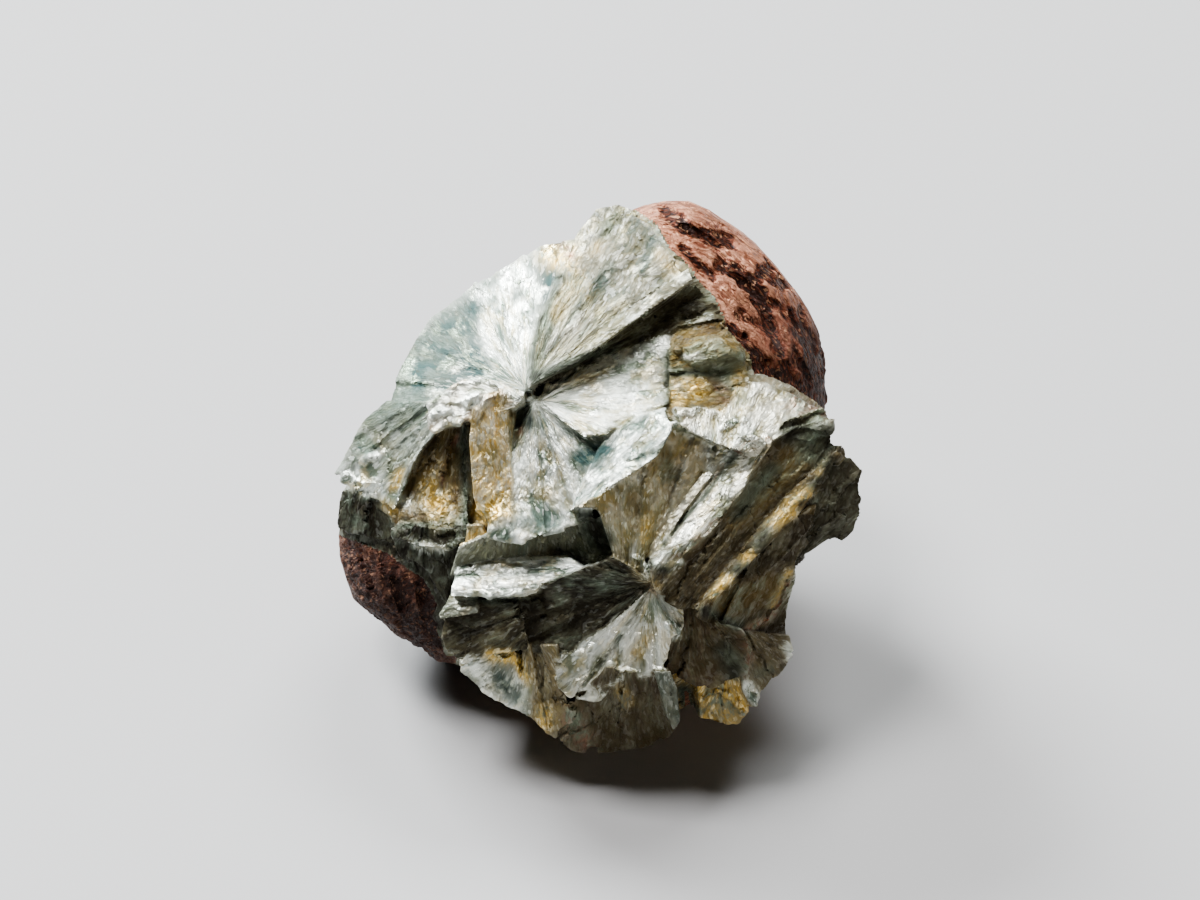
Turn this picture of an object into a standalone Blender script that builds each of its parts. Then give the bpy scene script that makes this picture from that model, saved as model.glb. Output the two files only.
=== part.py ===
"""A broken nodule of seraphinite, the size of a large marble.

It is one stone: a rounded, copper-brown rind, and a broken face where silvery green blades of
chlorite fan out from several roots.

The stone lies with its broken face leaning back. Points on it are written in the frame of that
face, in millimetres from the middle of the stone: across to the right, up the face, out of it.
"""

import math
import random
from collections import namedtuple

import bmesh
import bpy
from mathutils import Vector, noise

MM = 0.001

# How the stone lies: how far its face looks up, and where the middle of the stone is, in mm.
FACE_LEAN = math.radians(40)
FACE_CENTRE = Vector((0.052, 0.123, 8.7))

# The rounded body under the rind, in the face frame: the outer skin of a few lobes, blended.
Lobe = namedtuple("Lobe", "name centre radii")
LOBES = [
    Lobe("core", (0.0, -0.3, -1.5), (8.2, 8.6, 7.4)),
    Lobe("upper_right", (3.1, 3.3, -1.6), (6.5, 8.0, 6.4)),
    Lobe("lower_left", (-4.7, -2.4, -1.6), (6.3, 5.7, 5.6)),
    Lobe("back", (-0.5, 0.5, -3.6), (8.3, 8.0, 6.6)),
    Lobe("under_ridge", (1.5, 0.3, 2.5), (3.2, 3.2, 4.6)),
    Lobe("under_right_side", (5.5, -0.5, 0.5), (3.8, 4.5, 5.6)),
    Lobe("under_bottom_fan", (1.8, -4.3, 0.2), (5.5, 5.6, 5.9)),
]
HEART = Vector((0.0, 0.0, -2.0))
BODY_DETAIL = 4
SWELL_MARGIN = 1.3
BLEND = 0.35

# Broad swellings and hollows of the rind: a place on it, how wide, and how high.
Swell = namedtuple("Swell", "name place width height")
SWELLS = [
    Swell("flattened_shoulder", (7.2, 8.4, -1.5), 2.6, -0.45),
    Swell("top_knuckle", (3.7, 10.9, 0.0), 1.6, 0.35),
    Swell("saddle_groove", (5.4, 9.1, 1.2), 1.1, -0.45),
    Swell("side_groove", (6.9, 6.6, 3.0), 1.1, -0.40),
    Swell("cheek", (8.2, 5.0, 2.2), 1.8, 0.25),
    Swell("lower_left_pout", (-9.0, -4.2, 1.0), 1.8, 0.30),
]
# Furrows and pits gouged in the rind: where each starts and ends, and how wide it is. The ones
# on the face are written across and up it; a sign says which side of the stone they are on.
Gouge = namedtuple("Gouge", "name start end side radius")
GOUGES = [
    Gouge("top_furrow", (2.9, 10.6), (5.6, 9.2), 1, 0.36),
    Gouge("inner_furrow", (3.4, 9.3), (5.0, 8.0), 1, 0.24),
    Gouge("long_furrow_upper", (5.1, 8.7), (7.0, 7.0), 1, 0.34),
    Gouge("long_furrow_lower", (6.7, 7.4), (7.5, 5.0), 1, 0.32),
    Gouge("outer_furrow", (7.5, 7.7), (8.7, 5.3), 1, 0.24),
    Gouge("low_furrow", (8.0, 5.4), (9.1, 3.4), 1, 0.26),
    Gouge("inner_pit", (5.9, 6.2), (6.3, 5.3), 1, 0.24),
    Gouge("knob_pit", (6.7, 4.9), (7.3, 4.3), 1, 0.24),
    Gouge("lower_left_furrow", (-10.3, -3.0), (-9.1, -5.7), 1, 0.26),
    Gouge("middle_left_furrow", (-8.8, -3.6), (-8.0, -6.4), 1, 0.22),
    Gouge("inner_left_furrow", (-7.6, -4.2), (-7.2, -6.7), 1, 0.22),
    Gouge("back_furrow", (-5.5, 4.5), (-1.0, 6.5), -1, 0.40),
    Gouge("back_seam", (1.5, -1.0), (5.5, 1.5), -1, 0.40),
    Gouge("back_pit", (-4.5, -1.5), (-3.6, -3.2), -1, 0.40),
]
GOUGE_SIDES = 6

UNEVENNESS = 0.30
UNEVEN_LENGTH = 3.2

# A block of blades. The outline is drawn across and up the face; the blades run away from the
# root, which may lie far off for blades that are side by side. The top is a plane: anchor is a
# point on it, and slope is how much further out it gets per mm across and per mm up.
Block = namedtuple("Block", "name root outline anchor slope blades step depth")

BLOCKS = [
    Block("left_disc", (-3.05, 3.5),
          [(-3.05, 3.5), (-6.0, 2.6), (-8.9, 2.6), (-8.5, 4.0), (-7.9, 5.2), (-7.1, 6.5),
           (-5.9, 7.3), (-5.0, 8.1), (-3.6, 8.9), (-2.5, 9.7), (-0.6, 9.9), (-1.0, 6.0)],
          (-3.1, 3.6, 5.6), (0.75, -1.05), 9, 0.10, 7.5),
    Block("upper_wedge", (-2.9, 3.6),
          [(-2.9, 3.6), (-2.5, 6.3), (-1.6, 8.0), (-1.0, 9.9), (-0.2, 10.9), (0.7, 11.05),
           (1.1, 10.9), (2.1, 10.2), (2.6, 9.2), (3.5, 8.4), (3.7, 7.9), (2.3, 7.6),
           (1.0, 6.6), (0.0, 5.5), (-1.0, 4.6)],
          (-2.9, 3.6, 6.0), (0.15, -0.48), 8, 0.18, 8.0),
    Block("wedge_underside", (-2.8, 3.7),
          [(-2.8, 3.7), (2.4, 7.8), (3.7, 8.0), (4.5, 7.1), (4.7, 6.6), (5.0, 5.9),
           (2.6, 5.4), (0.0, 4.6)],
          (-2.8, 3.7, 5.3), (-0.585, 0.66), 6, 0.12, 7.5),
    Block("right_fan", (-2.4, 3.0),
          [(-2.4, 3.0), (-1.9, 3.7), (-1.0, 4.3), (0.5, 4.8), (2.6, 5.6), (2.9, 5.0),
           (2.7, 4.3), (2.75, 2.9), (2.1, 2.7), (1.1, 2.2), (0.2, 1.6), (-0.6, 1.5),
           (-1.6, 2.2)],
          (-2.4, 3.2, 5.7), (0.0, -0.85), 8, 0.14, 7.5),
    Block("olive_knob", (4.4, 4.3),
          [(2.8, 4.1), (2.9, 5.0), (3.5, 5.5), (5.2, 5.6), (5.9, 4.8), (6.1, 3.9), (5.9, 2.8),
           (5.0, 2.5), (2.8, 2.9)],
          (4.4, 4.3, 5.2), (-0.15, -0.2), 7, 0.10, 7.5),
    Block("crown_face", (5.0, 0.0),
          [(5.9, 3.9), (6.8, 3.8), (7.8, 3.4), (8.9, 2.75), (9.4, 2.1), (7.8, 1.9), (7.0, 1.3),
           (6.0, 0.9), (4.9, 1.2), (3.6, 1.8), (3.0, 2.8), (5.1, 2.6)],
          (6.5, 1.6, 6.5), (-0.5, -0.75), 7, 0.12, 7.5),
    Block("centre_field", (-2.7, 3.0),
          [(-2.7, 3.0), (-1.6, 2.4), (0.2, 1.8), (0.4, 0.6), (-0.6, -1.2), (-0.2, -1.8),
           (-1.0, -2.1), (-2.2, -2.4), (-3.2, -2.8), (-4.6, -2.5), (-4.2, 0.0), (-3.6, 1.5)],
          (-2.7, 2.9, 5.9), (0.1, -0.25), 9, 0.16, 7.5),
    Block("ridge_light_side", (-3.5, -4.0),
          [(-1.2, -1.5), (-0.4, 0.4), (0.2, 1.6), (1.2, 2.3), (2.7, 2.8), (3.0, 1.9),
           (2.4, 0.8), (1.1, -0.1), (0.0, -0.8)],
          (1.0, 0.0, 8.0), (0.52, -0.58), 5, 0.10, 7.5),
    Block("ridge_dark_side", (1.2, -5.5),
          [(-0.9, -1.3), (0.0, -0.7), (1.0, 0.0), (2.1, 0.5), (2.6, 1.2), (2.95, 1.95),
           (3.9, 1.9), (4.85, 1.3), (4.2, 0.2), (3.2, -1.2), (2.4, -2.6), (2.0, -3.4),
           (1.2, -3.7), (0.5, -3.3), (0.2, -2.2), (0.15, -1.3)],
          (1.0, 0.0, 8.0), (-0.5, 0.26), 7, 0.12, 7.5),
    Block("left_stripe", (-8.0, -14.0),
          [(2.2, -3.2), (3.1, -1.4), (4.2, 0.1), (5.0, 1.3), (5.8, 1.5), (4.6, 0.0),
           (3.4, -1.6), (2.6, -2.9)],
          (4.0, -0.9, 6.8), (0.46, -0.53), 2, 0.08, 7.5),
    Block("right_stripe", (-8.0, -14.0),
          [(2.4, -3.4), (3.6, -1.8), (4.8, -0.3), (6.1, 1.2), (7.0, 1.8), (7.0, 1.2),
           (6.2, 0.1), (5.8, -0.7), (4.8, -1.9), (3.6, -2.9), (2.8, -3.4)],
          (4.8, -1.9, 7.5), (0.44, -0.56), 2, 0.10, 7.5),
    Block("broad_side", (-6.0, -16.0),
          [(2.0, -3.6), (3.6, -2.8), (4.8, -2.1), (6.0, -0.5), (6.9, 0.8), (7.4, 2.0),
           (9.0, 2.6), (9.6, 1.9), (9.75, 1.0), (9.3, 0.2), (8.0, -1.4), (6.5, -3.0),
           (5.0, -4.6), (4.0, -5.2), (3.3, -5.4), (2.2, -4.8)],
          (4.5, -2.2, 7.3), (-0.70, 0.15), 7, 0.14, 8.0),
    Block("golden_band", (-6.0, -16.0),
          [(3.9, -5.3), (5.1, -3.9), (6.1, -2.9), (7.2, -1.4), (8.2, -0.4), (9.3, 0.8),
           (9.75, 0.9), (9.1, -0.6), (7.9, -1.9), (6.5, -3.3), (5.4, -4.4), (4.6, -5.2)],
          (7.0, -2.2, 5.9), (-0.35, -0.1), 3, 0.12, 7.5),
    Block("right_cheek", (2.0, -12.0),
          [(4.2, -5.3), (5.5, -4.4), (6.6, -3.3), (8.2, -1.9), (8.7, -2.8), (8.1, -3.6),
           (8.15, -4.6), (7.8, -6.0), (7.9, -6.9), (6.2, -6.5), (5.2, -6.3), (4.0, -5.7)],
          (6.5, -3.3, 5.8), (-1.1, 0.5), 6, 0.12, 7.5),
    Block("far_fan", (8.0, -3.6),
          [(8.0, -2.0), (9.0, -0.2), (9.5, 0.9), (10.4, 0.65), (10.9, 0.1), (10.95, -1.6),
           (10.6, -2.4), (10.1, -2.8), (9.5, -2.5), (8.6, -3.2), (8.0, -3.4)],
          (8.3, -2.8, 3.4), (-0.75, 0.05), 7, 0.14, 8.0),
    Block("green_overhang", (-2.5, 1.5),
          [(0.35, -1.5), (-1.0, -2.0), (-2.2, -2.3), (-3.2, -2.7), (-4.6, -2.5), (-5.8, -3.0),
           (-6.2, -4.2), (-4.8, -4.0), (-3.0, -4.0), (-1.3, -3.9), (0.5, -3.6)],
          (-2.5, -2.9, 6.2), (-0.1, 1.2), 8, 0.10, 7.5),
    Block("white_ledge", (1.8, -3.6),
          [(-6.1, -4.6), (-5.9, -3.9), (-4.8, -3.4), (-3.0, -3.5), (-1.4, -3.3), (-0.6, -3.8),
           (-1.8, -4.2), (-2.8, -4.8), (-3.1, -5.0), (-4.5, -5.05), (-6.2, -5.0)],
          (-3.5, -4.4, 6.5), (0.22, -0.7), 5, 0.14, 7.5),
    Block("ledge_corner", (-3.6, -5.0),
          [(-6.2, -4.9), (-5.1, -4.9), (-5.0, -5.7), (-6.65, -5.95)],
          (-5.9, -5.4, 5.7), (0.35, -0.2), 2, 0.10, 7.5),
    Block("dark_face_left", (1.6, -3.6),
          [(-6.5, -6.5), (-6.3, -5.7), (-5.1, -5.2), (-3.3, -4.9), (-3.0, -7.1), (-4.6, -7.4),
           (-5.7, -7.8), (-6.1, -7.5)],
          (-4.8, -6.3, 5.6), (0.45, 0.3), 5, 0.14, 7.5),
    Block("dark_face_right", (2.1, -4.4),
          [(-3.6, -5.0), (-2.6, -4.6), (-0.8, -3.9), (0.5, -3.3), (1.5, -3.9), (2.1, -4.4),
           (1.3, -5.4), (0.0, -6.4), (-1.0, -7.3), (-1.8, -7.3), (-3.4, -7.2)],
          (-1.5, -5.8, 6.3), (0.12, 0.38), 7, 0.12, 7.5),
    Block("silver_corner", (-3.0, -6.6),
          [(-5.5, -7.3), (-4.6, -7.2), (-3.6, -7.1), (-3.1, -7.8), (-2.6, -8.6), (-2.8, -9.3),
           (-2.9, -9.95), (-3.8, -9.65), (-4.9, -8.95), (-5.8, -8.1)],
          (-3.9, -8.7, 4.0), (0.5, 0.45), 5, 0.12, 7.5),
    Block("corner_rib", (-3.0, -5.5),
          [(-3.2, -6.9), (-1.7, -7.0), (-1.7, -8.6), (-1.0, -9.6), (-1.4, -11.1),
           (-2.4, -10.6), (-3.0, -9.9), (-2.6, -8.6)],
          (-2.2, -8.5, 5.0), (0.3, 0.65), 4, 0.14, 7.5),
    Block("bottom_fan", (2.1, -4.5),
          [(2.1, -4.5), (0.6, -6.0), (-0.6, -6.9), (-1.0, -7.3), (-1.85, -7.4), (-1.8, -8.6),
           (-1.2, -9.1), (0.0, -9.3), (0.9, -8.2), (2.3, -8.3), (2.75, -7.6), (3.0, -6.5),
           (3.5, -6.2), (3.4, -5.4)],
          (2.0, -4.7, 7.1), (0.2, 0.2), 10, 0.22, 8.0),
    Block("bottom_front", (1.5, -3.0),
          [(-0.8, -8.8), (0.3, -7.9), (2.3, -8.1), (2.9, -8.1), (3.15, -8.9), (3.2, -10.4),
           (2.8, -10.9), (2.0, -11.2), (0.0, -11.45), (-1.2, -11.4), (-1.7, -10.9),
           (-1.3, -9.6)],
          (0.8, -9.5, 5.0), (0.0, 1.15), 7, 0.16, 8.0),
    Block("thin_flake", (2.3, -6.0),
          [(2.2, -8.1), (2.9, -8.1), (3.15, -8.8), (3.3, -10.3), (3.05, -10.6), (2.7, -9.8)],
          (2.8, -9.2, 5.7), (-0.3, 1.1), 1, 0.0, 4.0),
    Block("russet_knob", (3.6, -4.8),
          [(3.2, -5.3), (4.1, -5.3), (5.0, -6.1), (5.9, -6.4), (6.2, -7.0), (6.1, -8.2),
           (5.2, -8.4), (4.8, -8.7), (3.9, -8.8), (3.1, -8.4), (2.6, -7.5), (2.9, -6.5)],
          (4.5, -7.0, 6.1), (-0.2, 0.35), 6, 0.16, 7.5),
    Block("golden_knob", (5.0, -7.2),
          [(3.9, -8.4), (5.7, -8.3), (6.1, -9.2), (6.15, -9.9), (5.7, -10.3), (4.9, -10.35),
           (4.1, -10.2)],
          (5.0, -9.4, 3.9), (-0.2, 0.75), 5, 0.12, 7.5),
    Block("right_foot", (5.6, -6.0),
          [(5.8, -6.4), (7.2, -6.6), (7.8, -6.7), (8.0, -7.25), (7.7, -7.8), (7.0, -8.8),
           (6.3, -9.6), (5.9, -9.2), (5.8, -8.2)],
          (7.0, -7.8, 3.8), (-0.9, 0.4), 5, 0.14, 7.5),
    Block("left_slope", (-5.0, 4.4),
          [(-8.9, 3.05), (-7.0, 3.0), (-6.6, 2.2), (-7.4, 1.0), (-8.0, -0.4), (-8.5, -1.5),
           (-9.1, -1.0), (-10.5, -0.65), (-10.95, 0.1), (-10.3, 1.2), (-9.7, 2.2)],
          (-8.2, 0.0, 3.9), (0.95, -0.22), 8, 0.14, 8.0),
    Block("left_rim", (-3.0, 2.9),
          [(-7.1, 2.9), (-6.2, 3.4), (-5.4, 3.8), (-4.7, 3.95), (-3.9, 3.75), (-3.1, 3.4),
           (-3.1, 2.8), (-3.8, 2.6), (-5.2, 2.3), (-6.2, 2.15), (-7.1, 1.8)],
          (-5.5, 3.0, 5.9), (0.35, -0.3), 6, 0.16, 7.5),
    Block("olive_hollow", (-5.6, 3.6),
          [(-7.0, 2.1), (-6.0, 2.4), (-5.0, 2.2), (-5.0, 0.5), (-5.2, -1.0), (-5.5, -2.4),
           (-7.0, -2.6), (-8.2, -2.6), (-8.8, -1.7), (-8.3, -0.9), (-7.9, 0.4)],
          (-6.3, 0.0, 4.2), (0.3, 0.05), 7, 0.10, 7.0),
    Block("tan_slab", (-4.4, 12.0),
          [(-5.25, 2.6), (-4.6, 3.3), (-3.9, 3.45), (-3.4, 3.0), (-3.45, 2.2), (-3.65, 0.6),
           (-3.55, -0.4), (-3.55, -1.6), (-4.1, -1.95), (-4.9, -1.75), (-5.2, -1.0),
           (-5.25, 0.0), (-5.35, 1.4)],
          (-4.4, 0.5, 6.6), (0.05, -0.05), 3, 0.14, 7.5),
    Block("tan_pebble", (-4.6, 0.0),
          [(-5.4, -2.1), (-4.9, -2.1), (-4.7, -2.5), (-4.9, -2.95), (-5.5, -2.9)],
          (-5.1, -2.4, 5.9), (0.1, 0.1), 2, 0.08, 7.0),
    Block("left_skirt", (-9.3, 4.0),
          [(-10.8, -0.6), (-9.2, -0.8), (-8.6, -1.2), (-8.4, -2.5), (-8.2, -3.2), (-9.5, -2.7),
           (-11.0, -2.2)],
          (-9.5, -1.8, 2.5), (0.85, 0.25), 7, 0.12, 7.5),
    Block("lash_skirt", (-7.0, 2.0),
          [(-8.6, -2.2), (-6.8, -2.2), (-5.3, -2.3), (-5.3, -3.3), (-6.1, -4.4), (-6.3, -5.6),
           (-7.1, -4.1), (-8.3, -3.3)],
          (-7.0, -3.0, 4.3), (0.4, 0.5), 8, 0.12, 7.5),
]
BLADE_OVERLAP = math.radians(0.7)
# A block at the edge of the face narrows towards a point this far back and this much nearer
# the middle of the stone. One in the middle narrows towards a point much farther back.
EDGE_OF_FACE = 7.0
ROOT_DEPTH = 10.0
ROOT_GATHER = 0.3
MIDDLE_DEPTH = 60.0
# No two blades share a corner exactly.
CORNER_SCATTER = 0.01
NEAR_ROOT = 0.05
EDGE_ANGLE = 0.002
SMALLEST_BLADE = 0.03
ROOT_RADIUS = 0.3
ROOT_SIDES = 5
CUT_REACH = 14.0
SEED = 4


def to_row(point):
    """A point of the face frame, in mm, in the stone's own frame, in metres."""
    across, up, out = point
    back = up * math.sin(FACE_LEAN) - out * math.cos(FACE_LEAN)
    height = up * math.cos(FACE_LEAN) + out * math.sin(FACE_LEAN)
    return MM * (FACE_CENTRE + Vector((across, back, height)))


def top_of(block, across, up):
    """How far out the block's plane is at a place on the face."""
    a, u, out = block.anchor
    return out + block.slope[0] * (across - a) + block.slope[1] * (up - u)


def crossings(block, angle):
    """The distances from the root, along a direction, at which the outline is crossed."""
    root, way = block.root, (math.cos(angle), math.sin(angle))
    found = []
    for p, q in zip(block.outline, block.outline[1:] + block.outline[:1]):
        px, py, qx, qy = p[0] - root[0], p[1] - root[1], q[0] - root[0], q[1] - root[1]
        hp = px * way[1] - py * way[0]
        hq = qx * way[1] - qy * way[0]
        if (hp > 0) != (hq > 0):
            t = hp / (hp - hq)
            found.append((px + t * (qx - px)) * way[0] + (py + t * (qy - py)) * way[1])
    return sorted(t for t in found if t > NEAR_ROOT)


def inside(outline, point):
    """Whether a point lies within an outline."""
    found = False
    for i, p in enumerate(outline):
        q = outline[(i + 1) % len(outline)]
        if (p[1] > point[1]) != (q[1] > point[1]):
            crossing = p[0] + (point[1] - p[1]) * (q[0] - p[0]) / (q[1] - p[1])
            found ^= crossing > point[0]
    return found


def heading(block, point):
    """The direction from a block's root to a point, in radians."""
    return math.atan2(point[1] - block.root[1], point[0] - block.root[0])


def corners(block):
    """The corners of a block's outline that aren't its root."""
    return [p for p in block.outline if math.dist(p, block.root) > NEAR_ROOT]


def blade_angles(block, rng):
    """The directions from the root, in radians, between which the blades lie."""
    if len(corners(block)) == len(block.outline) and inside(block.outline, block.root):
        first, span = 0.0, math.tau
    else:
        count = len(block.outline)
        middle = (sum(p[0] for p in block.outline) / count,
                  sum(p[1] for p in block.outline) / count)
        ahead = heading(block, middle)
        turns = [math.remainder(heading(block, p) - ahead, math.tau) for p in corners(block)]
        first = ahead + min(turns) + EDGE_ANGLE
        span = max(turns) - min(turns) - 2 * EDGE_ANGLE
    cuts = [0.0]
    for _ in range(block.blades):
        cuts.append(cuts[-1] + rng.uniform(0.6, 1.4))
    return [first + span * c / cuts[-1] for c in cuts]


def blade_shape(block, low, high):
    """The outline of the blade between two directions from the root, anticlockwise."""
    between = [low, high]
    for p in corners(block):
        turn = math.remainder(heading(block, p) - low, math.tau)
        if EDGE_ANGLE < turn < high - low - EDGE_ANGLE:
            between.append(low + turn)
    near, far = [], []
    for angle in sorted(between):
        found = crossings(block, angle)
        if not found:
            continue
        from_root = len(found) % 2 == 1
        for distance, chain in ((0.0 if from_root else found[0], near), (found[-1], far)):
            chain.append((block.root[0] + distance * math.cos(angle),
                          block.root[1] + distance * math.sin(angle)))
    shape = near[:1]
    for p in far + near[:0:-1]:
        if math.dist(p, shape[-1] if shape else p) > NEAR_ROOT and math.dist(p, shape[0]) > NEAR_ROOT:
            shape.append(p)
    return shape


def add_prism(mesh, tops, bottoms):
    """Adds a closed prism to a bmesh: its top, anticlockwise, and the loop below it."""
    upper = [mesh.verts.new(to_row(p)) for p in tops]
    lower = [mesh.verts.new(to_row(p)) for p in bottoms]
    mesh.faces.new(upper)
    mesh.faces.new(lower[::-1])
    for i in range(len(tops)):
        j = (i + 1) % len(tops)
        mesh.faces.new((upper[i], lower[i], lower[j], upper[j]))


def root_behind(block):
    """The point behind a block that its sides run towards: nearly straight back from a block
    in the middle of the face, and in towards the heart from one at its edge."""
    count = len(block.outline)
    across = sum(p[0] for p in block.outline) / count
    up = sum(p[1] for p in block.outline) / count
    edge = min(1.0, math.hypot(across, up) / EDGE_OF_FACE)
    gather = 1 - (1 - ROOT_GATHER) * edge
    depth = MIDDLE_DEPTH + (ROOT_DEPTH - MIDDLE_DEPTH) * edge
    return Vector((gather * across, gather * up, -depth))


def area(shape):
    """The area of an outline."""
    turned = shape[1:] + shape[:1]
    return (sum(p[0] * q[1] - q[0] * p[1] for p, q in zip(shape, turned))) / 2


def add_root(mesh, block, behind):
    """Adds the small knot that the blades of a block grow from, just under their tops."""
    across, up = block.root
    tops = []
    for i in range(ROOT_SIDES):
        angle = math.tau * i / ROOT_SIDES
        tops.append(Vector((across + ROOT_RADIUS * math.cos(angle),
                            up + ROOT_RADIUS * math.sin(angle),
                            top_of(block, across, up) - ROOT_RADIUS)))
    share = block.depth / (block.anchor[2] - behind.z)
    add_prism(mesh, tops, [p.lerp(behind, share) for p in tops])


def add_blades(mesh, block, rng):
    """Adds the blades of a block, each a flat-topped solid of its own height and tilt."""
    behind = root_behind(block)
    angles = blade_angles(block, rng)
    for low, high in zip(angles, angles[1:]):
        lift = rng.uniform(-1, 1) * block.step
        tilt = rng.uniform(0.4, 1.0) * block.step
        reach = rng.uniform(0.97, 1.02)
        shape = blade_shape(block, max(low - BLADE_OVERLAP, angles[0]),
                            min(high + BLADE_OVERLAP, angles[-1]))
        if len(shape) < 3 or area(shape) < SMALLEST_BLADE:
            continue
        middle = (low + high) / 2
        tops = []
        for p in shape:
            across = block.root[0] + (p[0] - block.root[0]) * reach
            up = block.root[1] + (p[1] - block.root[1]) * reach
            across += rng.uniform(-1, 1) * CORNER_SCATTER
            up += rng.uniform(-1, 1) * CORNER_SCATTER
            beside = (-(across - block.root[0]) * math.sin(middle)
                      + (up - block.root[1]) * math.cos(middle))
            tops.append(Vector((across, up, top_of(block, across, up) + lift + tilt * beside)))
        share = block.depth / (block.anchor[2] - behind.z)
        add_prism(mesh, tops, [p.lerp(behind, share) for p in tops])
    if len(corners(block)) < len(block.outline):
        add_root(mesh, block, behind)


def new_object(name, mesh):
    """A bmesh as a named object in the scene."""
    data = bpy.data.meshes.new(name)
    mesh.to_mesh(data)
    mesh.free()
    made = bpy.data.objects.new(name, data)
    bpy.context.scene.collection.objects.link(made)
    return made


def lobe_reach(lobe, way):
    """How far the outside of a lobe is from the heart of the stone, in a direction."""
    radii = Vector(lobe.radii)
    start = Vector(HEART) - Vector(lobe.centre)
    start = Vector(s / r for s, r in zip(start, radii))
    step = Vector(w / r for w, r in zip(way, radii))
    a, b, c = step.dot(step), start.dot(step), start.dot(start) - 1
    if b * b < a * c:
        return 0.0
    return max(0.0, (-b + math.sqrt(b * b - a * c)) / a)


def body_reach(way):
    """How far the rind is from the heart, in a direction: the lobes' skin and its swellings."""
    reaches = [lobe_reach(lobe, way) for lobe in LOBES]
    reach = max(reaches)
    reach += BLEND * math.log(sum(math.exp((r - reach) / BLEND) for r in reaches))
    place = HEART + way * reach
    for swell in SWELLS:
        apart = (place - Vector(swell.place)).length / swell.width
        reach += swell.height * math.exp(-apart * apart)
    return reach + UNEVENNESS * noise.noise(place / UNEVEN_LENGTH)


def on_rind(across, up, side):
    """The point of the rind at a place across and up, on the near side or the far one."""
    inner, outer = HEART.z, HEART.z + 14.0 * side
    for _ in range(30):
        point = Vector((across, up, (inner + outer) / 2))
        way = point - HEART
        if way.length < body_reach(way.normalized()):
            inner = point.z
        else:
            outer = point.z
    return Vector((across, up, inner))


def make_gouge(gouge):
    """The cutter for one furrow or pit: a spindle that lies half in the rind."""
    ends = [on_rind(*gouge.start, gouge.side), on_rind(*gouge.end, gouge.side)]
    along = ends[1] - ends[0]
    middle = on_rind(*((s + e) / 2 for s, e in zip(gouge.start, gouge.end)), gouge.side)
    turn = along.to_track_quat("Z", "X")
    mesh = bmesh.new()
    tips = [mesh.verts.new(to_row(end)) for end in ends]
    ring = []
    for i in range(GOUGE_SIDES):
        angle = math.tau * i / GOUGE_SIDES
        spoke = turn @ Vector((math.cos(angle), math.sin(angle), 0))
        ring.append(mesh.verts.new(to_row(middle + gouge.radius * spoke)))
    for p, q in zip(ring, ring[1:] + ring[:1]):
        mesh.faces.new((p, q, tips[1]))
        mesh.faces.new((q, p, tips[0]))
    return new_object(gouge.name, mesh)


def near_a_swell(way):
    """Whether the rind has a swelling or a groove in that direction."""
    place = HEART + way * body_reach(way)
    return any((place - Vector(s.place)).length < SWELL_MARGIN * s.width for s in SWELLS)


def make_body():
    """The rounded body, as one closed mesh, finer where the rind has swellings."""
    mesh = bmesh.new()
    bmesh.ops.create_icosphere(mesh, subdivisions=BODY_DETAIL, radius=1.0)
    fine = {edge for face in mesh.faces if near_a_swell(face.calc_center_median().normalized())
            for edge in face.edges}
    bmesh.ops.subdivide_edges(mesh, edges=list(fine), cuts=1, use_grid_fill=True)
    bmesh.ops.triangulate(mesh, faces=mesh.faces)
    for vert in mesh.verts:
        way = vert.co.normalized()
        vert.co = to_row(HEART + way * body_reach(way))
    return new_object("body", mesh)


def make_block(block, rng):
    """The blades of a block, each its own closed solid, as one object."""
    mesh = bmesh.new()
    add_blades(mesh, block, rng)
    return new_object(block.name, mesh)


def make_floor_cutter():
    """The cutter that leaves the flat face the stone rests on."""
    mesh = bmesh.new()
    bmesh.ops.create_cube(mesh, size=1.0)
    for vert in mesh.verts:
        vert.co = MM * 2 * CUT_REACH * (vert.co - Vector((0, 0, 0.5)))
    cutter = new_object("floor_cutter", mesh)
    cutter.hide_render = True
    cutter.display_type = "WIRE"
    return cutter


def seraphinite():
    """The stone's one material: pearly green, as cut chlorite is."""
    made = bpy.data.materials.new("seraphinite")
    made.use_nodes = True
    shader = made.node_tree.nodes["Principled BSDF"]
    shader.inputs["Base Color"].default_value = (0.32, 0.36, 0.30, 1.0)
    shader.inputs["Metallic"].default_value = 0.3
    shader.inputs["Roughness"].default_value = 0.45
    return made


def clear_scene():
    for old in list(bpy.data.objects):
        bpy.data.objects.remove(old)


def grouped(name, objects):
    """Objects moved into a collection of helpers, which isn't rendered."""
    group = bpy.data.collections.new(name)
    bpy.context.scene.collection.children.link(group)
    group.hide_render = True
    for helper in objects:
        bpy.context.scene.collection.objects.unlink(helper)
        group.objects.link(helper)
        helper.hide_render = True
        helper.display_type = "WIRE"
    return group


def add_boolean(target, name, operation, helpers):
    """A Boolean modifier that joins a collection to an object, or cuts it away."""
    made = target.modifiers.new(name, "BOOLEAN")
    made.operation = operation
    made.solver = "EXACT"
    made.operand_type = "COLLECTION"
    made.collection = grouped(name, helpers)
    made.use_self = operation == "UNION"


def shell_of(first):
    """All the faces that are joined to a face by edges."""
    shell, fresh = {first}, [first]
    while fresh:
        for edge in fresh.pop().edges:
            for face in edge.link_faces:
                if face not in shell:
                    shell.add(face)
                    fresh.append(face)
    return shell


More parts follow.
